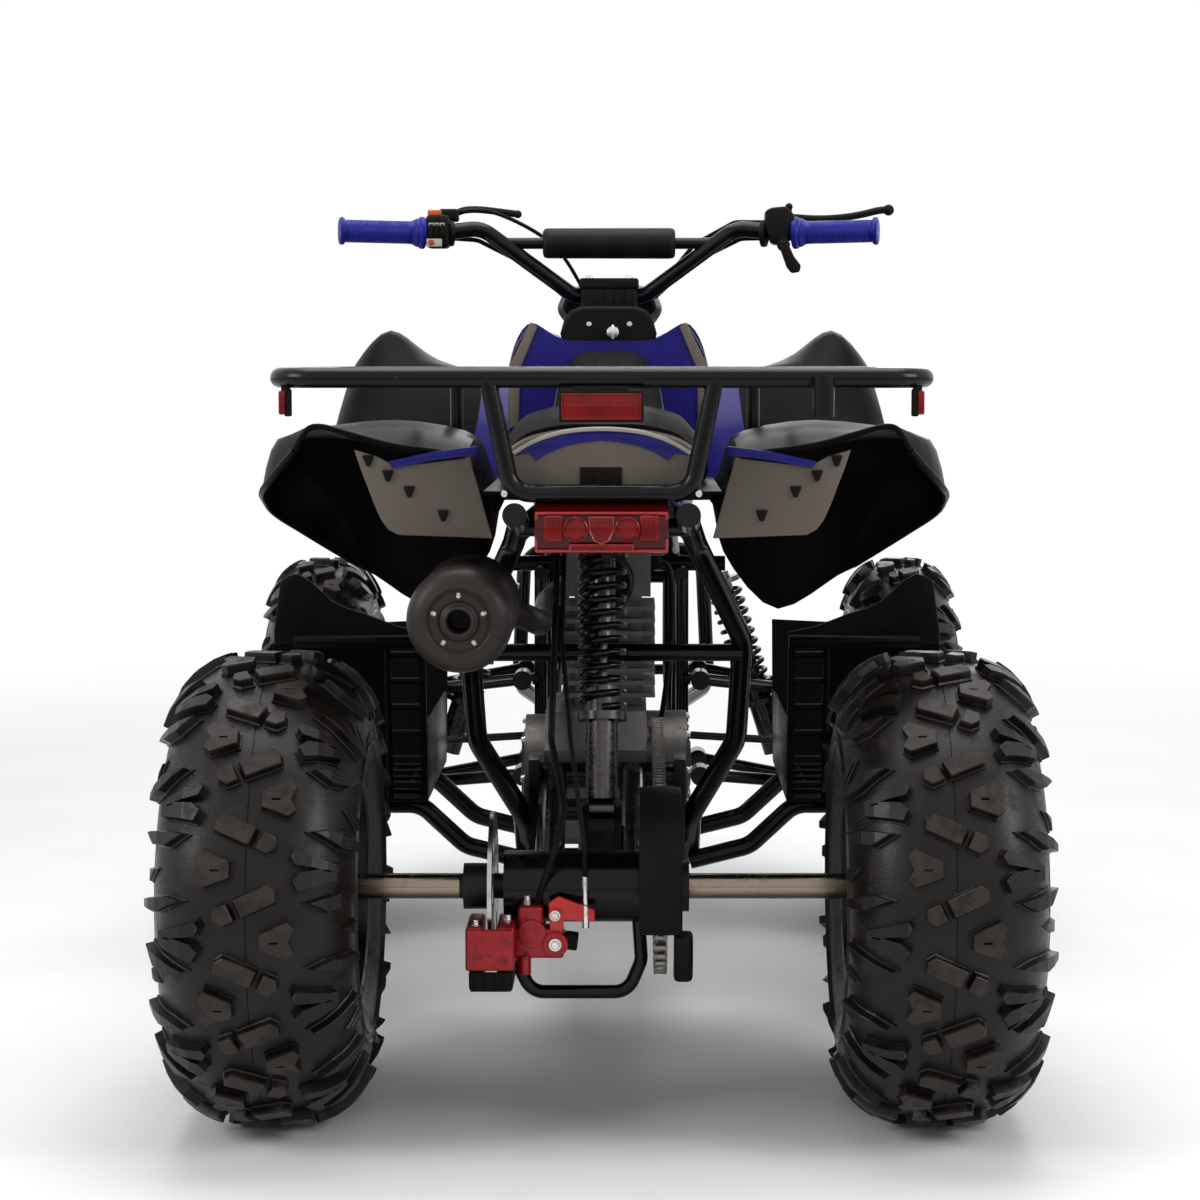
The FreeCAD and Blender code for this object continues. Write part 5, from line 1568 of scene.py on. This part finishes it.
class QUAD_OT_drive(bpy.types.Operator):
    """Models the springs, the chain with its links, the sprocket and the chain guard."""

    bl_idname = "quad.drive"
    bl_label = "Springs and chain"

    def execute(self, context):
        rear = spring(*REAR_SHOCK, 0.040, 0.118, 0.0265, 0.0044, 11)
        front = spring(*FRONT_SHOCK, 0.034, 0.104, 0.024, 0.0038, 11)
        dressed("shock_springs_dressed", [rear, *both(front)], "chassis", "spring_black",
                ["shock_springs"])
        self.chain()
        self.sprocket()
        self.guard()
        return {"FINISHED"}

    def chain(self):
        places = chain_places(CHAIN_PINS)
        pitch = (places[1] - places[0]).length
        outer, inner = [joined("plates", [link_plate(pitch, CHAIN_X + x) for x in pair])
                        for pair in (OUTER_PLATES, INNER_PLATES)]
        roller = bar("roller", (CHAIN_X - 0.0044, 0, 0), (CHAIN_X + 0.0044, 0, 0), 0.0046, 14)
        pin = bar("pin", (CHAIN_X - 0.008, 0, 0), (CHAIN_X + 0.008, 0, 0), 0.0022, 10)
        joint = joined("joint", [roller, pin])
        parts = []
        for k, place in enumerate(places):
            run = places[(k + 1) % len(places)] - place
            turn = Matrix.Rotation(math.atan2(run.z, run.y), 4, "X")
            change = Matrix.Translation(place) @ turn
            parts.append(copied(inner if k % 2 else outer, change))
            parts.append(copied(joint, change))
        for piece in (outer, inner, joint):
            bpy.data.objects.remove(piece)
        dressed("drive_chain_dressed", parts, "chassis", "chain_steel", ["drive_chain"])

    def sprocket(self):
        face = CHAIN_X + SPROCKET_HUB
        parts = [toothed(), bar("hub", (CHAIN_X - SPROCKET_HUB, *AXLE), (face, *AXLE), 0.036,
                                40, 0.001)]
        parts += [bolt("bolt", (face, y, z), RIGHT, 0.005, 0.004)
                  for y, z in around(4, 0.027, 0.5, AXLE)]
        dressed("rear_sprocket_dressed", parts, "rear_axle", "chain_steel", ["rear_sprocket"])

    def guard(self):
        """Guard round the sprocket: band, cheek, stay, rolled rims and a shoe below."""
        low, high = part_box("chain_guard")

        def arc(reach, degrees):
            turns = [math.radians(a) for a in degrees]
            return [(low.x, AXLE[0] + reach * math.cos(a), AXLE[1] + reach * math.sin(a))
                    for a in turns]

        around_guard = [GUARD_START + 4 * k for k in range(29)]
        outline = arc(GUARD_REACH, around_guard)
        outline += arc(GUARD_REACH - GUARD_WALL, around_guard[::-1])
        band = slab("band", outline, (high.x - low.x, 0, 0))
        side = arc(GUARD_MIDDLE, around_guard[::2])
        cheek = slab("cheek", side + arc(GUARD_MIDDLE * 0.9, around_guard[::-2]),
                     (0.0025, 0, 0))
        stay = arc(GUARD_MIDDLE, (126, 134, 142))
        stay += [(low.x, AXLE[0] - 0.034, AXLE[1] + 0.018),
                 (low.x, AXLE[0] - 0.018, AXLE[1] + 0.040)]
        arm = slab("stay", stay, (0.004, 0, 0), 0.0008)
        rims = [wire("rim", [(edge, y, z) for _, y, z in side], 0.0022)
                for edge in (low.x + 0.0015, high.x - 0.0015)]
        soften(band, 0.0016, 2, 50)
        shoe = [(SHOE_X, y, z) for y, z in metres(SHOE)]
        shoe = slab("shoe", shoe, (SHOE_WIDTH, 0, 0), 0.006, 3)
        dressed("chain_guard_dressed", [band, cheek, arm, shoe, *rims], "chassis",
                "plastic_matt", ["chain_guard"])


# Rear brake

LEVER = [(-62, 232), (-48, 232), (-46, 250), (-10, 248), (-10, 262), (-52, 278), (-64, 270)]


class QUAD_OT_brake(bpy.types.Operator):
    """Models the rear caliper, its parking lever, pads and fittings."""

    bl_idname = "quad.brake"
    bl_label = "Rear brake"

    def execute(self, context):
        red = [
            block("outer", (-0.158, -0.684, 0.197), (-0.139, -0.600, 0.249), 0.004),
            block("inner", (-0.123, -0.684, 0.197), (-0.102, -0.600, 0.249), 0.004),
            block("bridge", (-0.158, -0.690, 0.199), (-0.102, -0.6825, 0.247), 0.003),
            block("carrier", (-0.104, -0.650, 0.205), (-0.046, -0.616, 0.240), 0.004),
            block("shoulder", (-0.100, -0.648, 0.236), (-0.070, -0.618, 0.266), 0.005),
            bar("boss", (-0.083, -0.652, 0.234), (-0.083, -0.616, 0.234), 0.017, 32, 0.002),
            bar("boss", (-0.056, -0.654, 0.222), (-0.056, -0.614, 0.222), 0.015, 32, 0.002),
            bar("foot", (-0.092, -0.646, 0.186), (-0.092, -0.646, 0.208), 0.008, 24, 0.001),
        ]
        dressed("rear_caliper_dressed", red, "chassis", "caliper_red", ["rear_caliper"])
        lever = [plate("lever", LEVER, -0.642, 0.007, 0.0016),
                 bar("pivot", (-0.056, -0.653, 0.256), (-0.056, -0.636, 0.256), 0.008, 24, 0.001)]
        dressed("parking_lever", lever, "chassis", "lever_red", ())
        black = [block("pads", (-0.155, -0.680, 0.172), (-0.139, -0.606, 0.198), 0.005),
                 block("pads", (-0.123, -0.680, 0.172), (-0.104, -0.606, 0.198), 0.005),
                 block("bridge", (-0.153, -0.686, 0.174), (-0.106, -0.6825, 0.197), 0.0015),
                 bar("boot", (-0.046, -0.634, 0.224), (-0.030, -0.634, 0.222), 0.011, 24, 0.002)]
        for k in range(4):
            x = -0.147 + 0.011 * k
            black.append(bar("ridge", (x, -0.6866, 0.178), (x, -0.6866, 0.193), 0.0013, 8))
        dressed("brake_pads", black, "chassis", "plastic_matt")
        bright = [bolt("bolt", (-0.148, -0.668, 0.249), UP, 0.0045, 0.006),
                  bolt("bolt", (-0.112, -0.640, 0.249), UP, 0.0045, 0.006),
                  bolt("nipple", (-0.089, -0.632, 0.266), UP, 0.0038, 0.010),
                  bolt("pivot", (-0.056, -0.653, 0.256), REAR, 0.0042, 0.004),
                  bolt("pivot", (-0.056, -0.654, 0.222), REAR, 0.0050, 0.004),
                  bar("ferrule", (-0.021, -0.642, 0.262), (-0.0215, -0.642, 0.300), 0.0036,
                      16, 0.0006),
                  bar("clevis", (-0.0205, -0.646, 0.240), (-0.0205, -0.646, 0.266), 0.0042,
                      16, 0.0008)]
        dressed("brake_fittings", bright, "chassis", "steel")
        return {"FINISHED"}


# Handlebar fittings

GRIP_OUTER, GRIP_INNER = Vector((0.372, 0.070, 1.075)), Vector((0.240, 0.100, 1.073))
GRIP_RIDGES, RIDGE_START, RIDGE_STEP = 27, 0.0120, 0.0032
# Outline of a grip as (radius, along), before and after its ridges
GRIP_END = [(0, 0.0005), (0.0155, 0), (0.0188, 0.0012), (0.0195, 0.0040), (0.0185, 0.0068),
            (0.0164, 0.0082), (0.0156, 0.0100)]
GRIP_FLANGE = [(0.0157, 0.0990), (0.0166, 0.1030), (0.0192, 0.1075), (0.0199, 0.1090),
               (0.0196, 0.1110), (0.0216, 0.1130), (0.0225, 0.1160), (0.0222, 0.1195),
               (0.0200, 0.1210), (0, 0.1212)]
SWITCHES, SWITCH_STEP = 3, 0.0078
THROTTLE = [(219, 1082), (219, 1104), (228, 1108), (247, 1110), (259, 1099), (259, 1086),
            (252, 1064), (244, 1056), (228, 1058)]
PADDLE = [(238, 1062), (249, 1060), (258, 1040), (268, 1027), (266, 1018), (255, 1016),
          (248, 1024), (240, 1046)]
RIGHT_LEVER = [(228, 127, 1090), (244, 138, 1096), (262, 154, 1098), (290, 165, 1096),
               (325, 168, 1097), (360, 166, 1102), (386, 162, 1109), (398, 161, 1109)]
LEFT_LEVER = [(-228, 125, 1094), (-214, 134, 1106), (-190, 143, 1109), (-160, 149, 1106),
              (-130, 150, 1102)]
LEFT_CABLE = [(-220, 124, 1103), (-186, 128, 1109), (-149, 132, 1100), (-95, 160, 1073),
              (-60, 180, 1040), (-36, 198, 992)]


class QUAD_OT_controls(bpy.types.Operator):
    """Models the grips, the switch and throttle housings and the levers."""

    bl_idname = "quad.controls"
    bl_label = "Grips and controls"

    def execute(self, context):
        self.grips()
        self.housings()
        self.levers()
        return {"FINISHED"}

    def grips(self):
        run = (GRIP_INNER - GRIP_OUTER).normalized()
        outline = list(GRIP_END)
        for k in range(GRIP_RIDGES):
            along = RIDGE_START + RIDGE_STEP * k
            outline += [(0.0155, along), (0.0161, along + RIDGE_STEP / 2)]
        grip = lathe("grip", outline + GRIP_FLANGE, GRIP_OUTER - run * 0.004, run, 40)
        dressed("grips_dressed", both(grip), "steering", "grip_blue", ["grips"])

    def housings(self):
        black = [
            block("switch", (-0.256, 0.079, 1.052), (-0.2235, 0.123, 1.098), 0.006),
            block("switch_step", (-0.254, 0.0765, 1.0655), (-0.229, 0.084, 1.0875), 0.002),
            bar("collar", (-0.226, 0.1035, 1.073), (-0.218, 0.105, 1.073), 0.018, 32, 0.002),
            plate("throttle", THROTTLE, 0.080, -0.044, 0.004, 3),
            bar("collar", (0.214, 0.106, 1.073), (0.222, 0.104, 1.073), 0.019, 32, 0.002),
            bar("pivot", (0.244, 0.070, 1.056), (0.244, 0.084, 1.056), 0.009, 24, 0.0015),
            plate("paddle", PADDLE, 0.070, 0.007, 0.0024, 3),
        ]
        light = []
        for k in range(SWITCHES):
            x = -0.2505 + SWITCH_STEP * k
            black.append(block("rocker", (x, 0.0735, 1.0685), (x + 0.0052, 0.080, 1.0845),
                               0.0012))
            light.append(block("window", (x - 0.0007, 0.0758, 1.0815),
                               (x + 0.0059, 0.077, 1.0865)))
        dressed("control_housings_dressed", black, "steering", "plastic_matt",
                ["control_housings"])
        light.append(block("bezel", (-0.2545, 0.0752, 1.0535), (-0.2330, 0.080, 1.0645), 0.001))
        dressed("switch_marks", light, "steering", "pale_plastic", ())
        slider = block("slider", (-0.2535, 0.084, 1.0965), (-0.2345, 0.098, 1.1050), 0.002)
        dressed("slider", [slider], "steering", "signal_orange", ())
        outline = [(0, 0.0032), (0.0030, 0.0028), (0.0040, 0.0012), (0.0040, -0.001)]
        button = lathe("button", outline, (-0.2480, 0.0752, 1.0590), REAR, 24)
        dressed("button", [button], "steering", "lever_red", ())

    def levers(self):
        parts = [
            wire("right", metres(RIGHT_LEVER), 0.0052),
            ball("knob", (0.398, 0.161, 1.1085), 0.0080, 20),
            wire("left", metres(LEFT_LEVER), 0.0050),
            ball("tip", (-0.130, 0.150, 1.102), 0.0058, 16),
            block("perch", (0.226, 0.110, 1.082), (0.262, 0.140, 1.100), 0.004),
            block("perch", (-0.240, 0.112, 1.090), (-0.212, 0.138, 1.108), 0.004),
            bar("adjuster", (0.256, 0.124, 1.096), (0.254, 0.122, 1.110), 0.0036, 16, 0.0006),
            ball("adjuster_cap", (0.254, 0.122, 1.1110), 0.0054, 16),
            bar("thumb", (0.240, 0.077, 1.061), (0.250, 0.068, 1.045), 0.0050, 16, 0.001),
            wire("left_cable", metres(LEFT_CABLE), 0.0028),
        ]
        dressed("control_levers_dressed", parts, "steering", "plastic_matt", ["control_levers"])


# Bar clamp, lamp cowl and the rim of the front lens

COWL = [
    (165.5, [(50, 958), (66, 972), (54, 992), (20, 1000)]),
    (230, [(62, 953), (76, 970), (62, 996), (24, 1006)]),
    (300, [(58, 946), (72, 965), (58, 990), (22, 998)]),
]
LENS_RIM = [(-48, 953), (-56, 966), (-44, 983), (44, 983), (56, 966), (48, 953)]
LENS_Y = 0.304


class QUAD_OT_cowl(bpy.types.Operator):
    """Models the cowl of the headlight, its screws and the rim of its lens."""

    bl_idname = "quad.cowl"
    bl_label = "Headlight cowl"

    def execute(self, context):
        cowl = shell("cowl", dense_rows(sections(COWL), 5, 4, True))
        parts = [soften(cowl, 0.004, 3, 50),
                 block("brow", (-0.030, 0.1630, 0.962), (0.030, 0.168, 0.976), 0.0015)]
        dressed("headlight_pod_dressed", parts, "steering", "plastic_black", ["headlight_pod"])
        screws = [screw((x, 0.1655, 0.985), REAR, 0.0055) for x in (-0.026, 0.026)]
        dressed("cowl_screws", screws, "steering", "steel")
        clamp = [block("base", (-0.040, 0.115, 0.955), (0.040, 0.165, 0.999), 0.005),
                 block("cap", (-0.042, 0.113, 0.995), (0.042, 0.167, 1.011), 0.004)]
        clamp += [block("rib", (x - 0.005, 0.1125, 0.959), (x + 0.005, 0.118, 0.994), 0.0018)
                  for x in (-0.027, 0, 0.027)]
        dressed("handlebar_clamp_dressed", clamp, "steering", "plastic_matt",
                ["handlebar_clamp"])
        bolts = [bolt("bolt", (x, y, 1.0105), UP, 0.0055, 0.004)
                 for x in (-0.028, 0.028) for y in (0.126, 0.154)]
        bolts += [screw((x, 0.1125, 0.963), REAR, 0.0042) for x in (-0.014, 0.014)]
        dressed("clamp_bolts", bolts, "steering", "steel")
        rim = framed(at_rear(LENS_RIM, LENS_Y), 0.0022)
        dressed("lens_rim", [rim], "steering", "steel")
        return {"FINISHED"}


# Footwells

GUARD = [(236, 528), (432, 528), (432, 545), (423, 611), (412, 618), (401, 621), (385, 612),
         (370, 598), (356, 585), (337, 576), (317, 570), (270, 552), (236, 545)]
HEEL = [(-205, 322), (-213, 376), (-222, 430), (-230, 482), (-238, 530)]
TOE = [[(236, 150, 322), (432, 150, 322)], [(236, 176, 430), (462, 176, 440)],
       [(236, 190, 520), (444, 190, 510)]]
FOOTWELL_INNER, FOOTWELL_REAR, FOOTWELL_FRONT = 0.236, -0.205, 0.150
KERB_TOP = 0.420
RIBS, RIB_STEP = 6, 0.056
STUDS, STUD_STEP = 5, 0.034
STUD = [(0, 0.005), (0.004, 0.0045), (0.0055, 0.002), (0.006, -0.001)]
RUNGS, RUNG_START, RUNG_STEP = 6, 0.3395, 0.035
HEEL_LEAN = 0.16


class QUAD_OT_footwells(bpy.types.Operator):
    """Models both footwells: floor with studs, laddered heel, heel guard and toe wall."""

    bl_idname = "quad.footwells"
    bl_label = "Footwells"

    def execute(self, context):
        low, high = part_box("footwells")
        inner, outer, floor = FOOTWELL_INNER, high.x - 0.030, low.z
        rear, front = FOOTWELL_REAR, FOOTWELL_FRONT
        parts = [block("floor", (inner, rear, floor), (outer, front, floor + 0.006), 0.002),
                 block("kerb", (inner, rear, floor), (inner + 0.005, front, KERB_TOP), 0.002)]
        for k in range(RIBS):
            y = rear + 0.035 + RIB_STEP * k
            parts.append(block("rib", (inner, y, floor + 0.004),
                               (outer - 0.016, y + 0.012, floor + 0.012), 0.0025))
            for n in range(STUDS):
                x = inner + 0.028 + STUD_STEP * n
                parts.append(lathe("stud", STUD, (x, y + 0.034, floor + 0.006), UP, 10))
        parts += self.heel(inner, outer)
        parts.append(plate("guard", GUARD, rear - 0.032, 0.006, 0.0022))
        parts.append(bar("rail", (inner, rear - 0.042, 0.533),
                         (outer - 0.026, rear - 0.042, 0.533), 0.009, 28, 0.002))
        parts.append(moulding("toe", dense_rows(metres_rows(TOE), 4, 4), 0.004))
        left = joined("left", parts)
        dressed("footwells_dressed", both(left), "chassis", "plastic_black", ["footwells"])
        return {"FINISHED"}

    def heel(self, inner, outer):
        """Heel wall with rungs across its open inner strip."""
        line = metres(HEEL)
        strip = inner + 0.050
        parts = [moulding("wall", [[(x, y, z) for x in pair] for y, z in line], 0.004)
                 for pair in ((strip, outer), (inner, inner + 0.009))]
        for k in range(RUNGS):
            z = RUNG_START + RUNG_STEP * k
            y = line[0][0] - (z - line[0][1]) * HEEL_LEAN
            parts.append(bar("rung", (inner + 0.004, y, z), (inner + 0.054, y, z), 0.0045, 16))
        parts.append(wire("edge", [(strip, y - 0.003, z) for y, z in line], 0.0048))
        return parts


# Engine, nose and fasteners

# Covers and carriers of the engine as (radius, along) outlines on its sides
LEFT_COVER = [(0, 0.006), (0.052, 0.005), (0.060, 0.001), (0.070, 0.0005), (0.070, -0.002),
              (0, -0.002)]
RIGHT_COVER = [(0, 0.007), (0.030, 0.006), (0.040, 0.002), (0.058, 0.0018), (0.066, -0.002),
               (0, -0.002)]
LEFT_SHAFT, RIGHT_SHAFT = (-0.112, -0.060, 0.335), (0.108, 0.012, 0.335)
AIR_FILTER = [(0, 0), (0.030, 0), (0.034, 0.006), (0.034, 0.076), (0.030, 0.084),
              (0.018, 0.088), (0.018, 0.104), (0, 0.104)]
FILTER_Z = 0.607
PLEATS, PLEAT_STEP = 9, 0.008
PLUG_LEAD = [(60, 20, 612), (80, 20, 622), (90, 5, 590), (88, -15, 500), (72, -12, 395)]
NOSE_SLOTS, SLOT_STEP = 4, 0.024
AXLE_CAP = [(0, 0.010), (0.011, 0.0095), (0.013, 0.007), (0.013, 0.0), (0.020, 0.0),
            (0.020, -0.004), (0, -0.004)]


def ring_of_bolts(centre, axis, reach):
    """Eight cover bolts in a circle about a cross axis, heads facing out along it."""
    return [bolt("bolt", (centre[0], y, z), axis, 0.0042, 0.005)
            for y, z in around(8, reach, 0, centre[1:])]


class QUAD_OT_details(bpy.types.Operator):
    """Adds the engine's fittings, the nose grille, hub caps and bolts."""

    bl_idname = "quad.details"
    bl_label = "Engine, nose and bolts"

    def execute(self, context):
        self.engine()
        self.nose()
        self.fasteners()
        return {"FINISHED"}

    def engine(self):
        alloy = [
            lathe("left_cover", LEFT_COVER, LEFT_SHAFT, (-1, 0, 0)),
            lathe("right_cover", RIGHT_COVER, RIGHT_SHAFT, RIGHT),
            block("starter", (-0.060, 0.050, 0.425), (0.040, 0.105, 0.470), 0.012),
            block("carburettor", (-0.026, -0.128, 0.585), (0.026, -0.060, 0.630), 0.008),
            bar("bowl", (0, -0.096, 0.552), (0, -0.096, 0.588), 0.020, 32, 0.003),
            bar("head_cover", (-0.030, 0.002, 0.636), (0.030, 0.002, 0.636), 0.026, 32, 0.004),
        ]
        dressed("engine_covers", alloy, "chassis", "alloy")
        black = [
            lathe("filter", AIR_FILTER, (0, -0.230, FILTER_Z), (0, 1, 0), 40),
            wire("plug_lead", metres(PLUG_LEAD), 0.0038),
            bar("plug_cap", (0.056, 0.020, 0.611), (0.074, 0.020, 0.617), 0.009, 24, 0.002),
        ]
        for k in range(PLEATS):
            y = -0.222 + PLEAT_STEP * k
            black.append(bar("pleat", (0, y, FILTER_Z), (0, y + 0.003, FILTER_Z), 0.0352, 40))
        dressed("air_filter", black, "chassis", "plastic_matt")
        bolts = ring_of_bolts(LEFT_SHAFT, (-1, 0, 0), 0.070)
        bolts += ring_of_bolts(RIGHT_SHAFT, RIGHT, 0.067)
        bolts += [bolt("bolt", (x, y, 0.640), UP, 0.006, 0.007)
                  for x in (-0.046, 0.046) for y in (-0.050, 0.054)]
        dressed("engine_bolts", bolts, "chassis", "steel")

    def nose(self):
        slots = []
        nose = bpy.data.objects["nose_cover_dressed"]
        for k in range(NOSE_SLOTS):
            spot, normal = on_surface(nose, (0, 0.690 + SLOT_STEP * k, 0.80))
            spot += normal * 0.0012
            side = Vector((0.046 - 0.003 * k, 0, 0))
            slots.append(bar("slot", spot - side, spot + side, 0.0042, 20, 0.002))
        dressed("nose_slots", slots, "chassis", "plastic_matt")

    def fasteners(self):
        screws = [screw((x, -0.794, 0.752), REAR, 0.0042) for x in (-0.106, 0.106)]
        dressed("frame_bolts", screws, "chassis", "steel")
        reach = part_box("rear_axle_shaft")[1].x
        caps = both(lathe("cap", AXLE_CAP, (reach, *AXLE), RIGHT, 24))
        dressed("axle_caps", caps, "rear_axle", "steel")


# Padded pieces

PUFF_FRAMES = 20


def puffed(piece, voxel, pressure, cap, held):
    """Lets pressure round a closed shape out as cloth, no further than the cap."""
    modify(piece, "REMESH", mode="VOXEL", voxel_size=voxel)
    start = [vertex.co.copy() for vertex in piece.data.vertices]
    group = piece.vertex_groups.new(name="held")
    group.add([i for i, place in enumerate(start) if held(place)], 1.0, "REPLACE")
    cloth = piece.modifiers.new("padding", "CLOTH")
    cloth.settings.use_pressure = True
    cloth.settings.uniform_pressure_force = pressure
    cloth.settings.effector_weights.gravity = 0
    cloth.settings.vertex_group_mass = group.name
    for k in range(1, PUFF_FRAMES + 1):
        bpy.context.scene.frame_set(k)
    activate(piece)
    bpy.ops.object.modifier_apply(modifier=cloth.name)
    for vertex, place in zip(piece.data.vertices, start):
        step = vertex.co - place
        if step.length > cap:
            vertex.co = place + step.normalized() * cap
    piece.vertex_groups.clear()
    bpy.context.scene.frame_set(1)
    subdivide(piece, 1)
    return smooth(piece, 80)


# Stations of the seat: y, half widths below and on top, bottom and top
SEAT_STATIONS = [
    (-641, 82, 60, 752, 796), (-600, 102, 82, 752, 826), (-520, 118, 96, 752, 832),
    (-420, 120, 98, 752, 810), (-300, 116, 94, 752, 794), (-180, 100, 78, 752, 802),
    (-80, 84, 60, 764, 845), (-10, 70, 52, 788, 900), (14, 64, 48, 802, 916),
]
SEAT_SEAM = 0.55
WAIST_Y, WAIST_Z = -0.170, 0.815
SEAT_TAIL = [
    (-651, [(28, 832), (80, 824), (110, 793), (112, 800), (86, 835), (32, 846)]),
    (-700, [(28, 830), (80, 822), (112, 791), (114, 797), (87, 830), (32, 840)]),
    (-735, [(28, 828), (79, 819), (112, 789), (113, 794), (85, 825), (32, 834)]),
    (-758, [(28, 824), (78, 815), (109, 787), (110, 790), (80, 818), (29, 827)]),
]


def on_surface(piece, place):
    """Nearest point on the piece, and the way out of it there."""
    _, spot, normal, _ = piece.closest_point_on_mesh(Vector(place))
    return spot, normal


class QUAD_OT_seat(bpy.types.Operator):
    """Models the padded seat with its seams, and the pad on the crossbar."""

    bl_idname = "quad.seat"
    bl_label = "Seat and bar pad"

    def execute(self, context):
        body = context.scene.quad_body
        rings = []
        for y, low, top, z0, z1 in SEAT_STATIONS:
            rings.append(section(y, [(low, z0), (low + 7, z0 + 0.45 * (z1 - z0)),
                                     (top, z1 - 10), (0.55 * top, z1)]))
        seat = shell("seat_dressed", dense_rows(rings, 4, 5, True))
        puffed(seat, body.voxel, body.pressure, 0.007, lambda place: place.z < 0.757)
        dressed("seat_dressed", [seat], "chassis", "seat_cover", ["seat"])
        tail = shell("seat_tail", dense_rows(sections(SEAT_TAIL), 5, 4, True))
        dressed("seat_tail", [tail], "chassis", "seat_cover")
        self.seams(seat)
        self.bar_pad(body)
        return {"FINISHED"}

    def seams(self, seat):
        """Piped seam along both shoulders of the seat, and one across its waist."""
        lines = []
        for side in (-1, 1):
            points = []
            for y, low, _, z0, z1 in dense(SEAT_STATIONS, 4)[1:-1]:
                aim = (side * (low + 12) * 0.001, y * 0.001, (z0 + SEAT_SEAM * (z1 - z0)) * 0.001)
                spot, normal = on_surface(seat, aim)
                points.append(spot + normal * 0.0006)
            lines.append(wire("seam", points, 0.0017))
        across = []
        for k in range(13):
            x = -0.090 + 0.015 * k
            spot, normal = on_surface(seat, (x, WAIST_Y, WAIST_Z - 0.16 * abs(x)))
            across.append(spot + normal * 0.0004)
        lines.append(wire("seam", across, 0.0015))
        dressed("seat_piping", lines, "chassis", "piping", ())

    def bar_pad(self, body):
        low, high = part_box("bar_pad")
        y, z = (low.y + high.y) / 2, (low.z + high.z) / 2
        half = (high.z - low.z) / 2
        outline = [(0.0095, low.x + 0.001), (half - 0.006, low.x + 0.001),
                   (half - 0.003, low.x + 0.005), (half - 0.0025, high.x - 0.005),
                   (half - 0.006, high.x - 0.001), (0.0095, high.x - 0.001)]
        pad = lathe("bar_pad_dressed", outline + outline[:1], (0, y, z), RIGHT, 48)
        puffed(pad, 0.004, body.pressure, 0.003,
               lambda place: math.hypot(place.y - y, place.z - z) < 0.012)
        dressed("bar_pad_dressed", [pad], "steering", "pad_black", ["bar_pad"])


PIECES = [
    QUAD_OT_stage, QUAD_OT_metalwork, QUAD_OT_tyres, QUAD_OT_rims,
    QUAD_OT_fenders, QUAD_OT_covers, QUAD_OT_tail, QUAD_OT_lamps, QUAD_OT_exhaust,
    QUAD_OT_drive, QUAD_OT_brake, QUAD_OT_controls, QUAD_OT_cowl, QUAD_OT_footwells,
    QUAD_OT_details, QUAD_OT_seat,
]


class QUAD_PT_panel(bpy.types.Panel):
    """Lists the steps of the dressing in the sidebar."""

    bl_idname = "QUAD_PT_panel"
    bl_label = "Quad Bike"
    bl_space_type = "VIEW_3D"
    bl_region_type = "UI"
    bl_category = "Quad Bike"

    def draw(self, context):
        for step in PIECES:
            self.layout.operator(step.bl_idname)
        for key in QuadLooks.__annotations__:
            self.layout.prop(context.scene.quad_looks, key)


CLASSES = [QuadLooks, QuadStage, QuadTyres, QuadBody, *PIECES, QUAD_PT_panel]


def register():
    for item in CLASSES:
        bpy.utils.register_class(item)
    bpy.types.Scene.quad_looks = PointerProperty(type=QuadLooks)
    bpy.types.Scene.quad_stage = PointerProperty(type=QuadStage)
    bpy.types.Scene.quad_tyres = PointerProperty(type=QuadTyres)
    bpy.types.Scene.quad_body = PointerProperty(type=QuadBody)


def unregister():
    del bpy.types.Scene.quad_body
    del bpy.types.Scene.quad_tyres
    del bpy.types.Scene.quad_stage
    del bpy.types.Scene.quad_looks
    for item in reversed(CLASSES):
        bpy.utils.unregister_class(item)


def main():
    register()
    for step in PIECES:
        group, name = step.bl_idname.split(".")
        getattr(getattr(bpy.ops, group), name)()
    clear_selection()


if __name__ == "__main__":
    main()
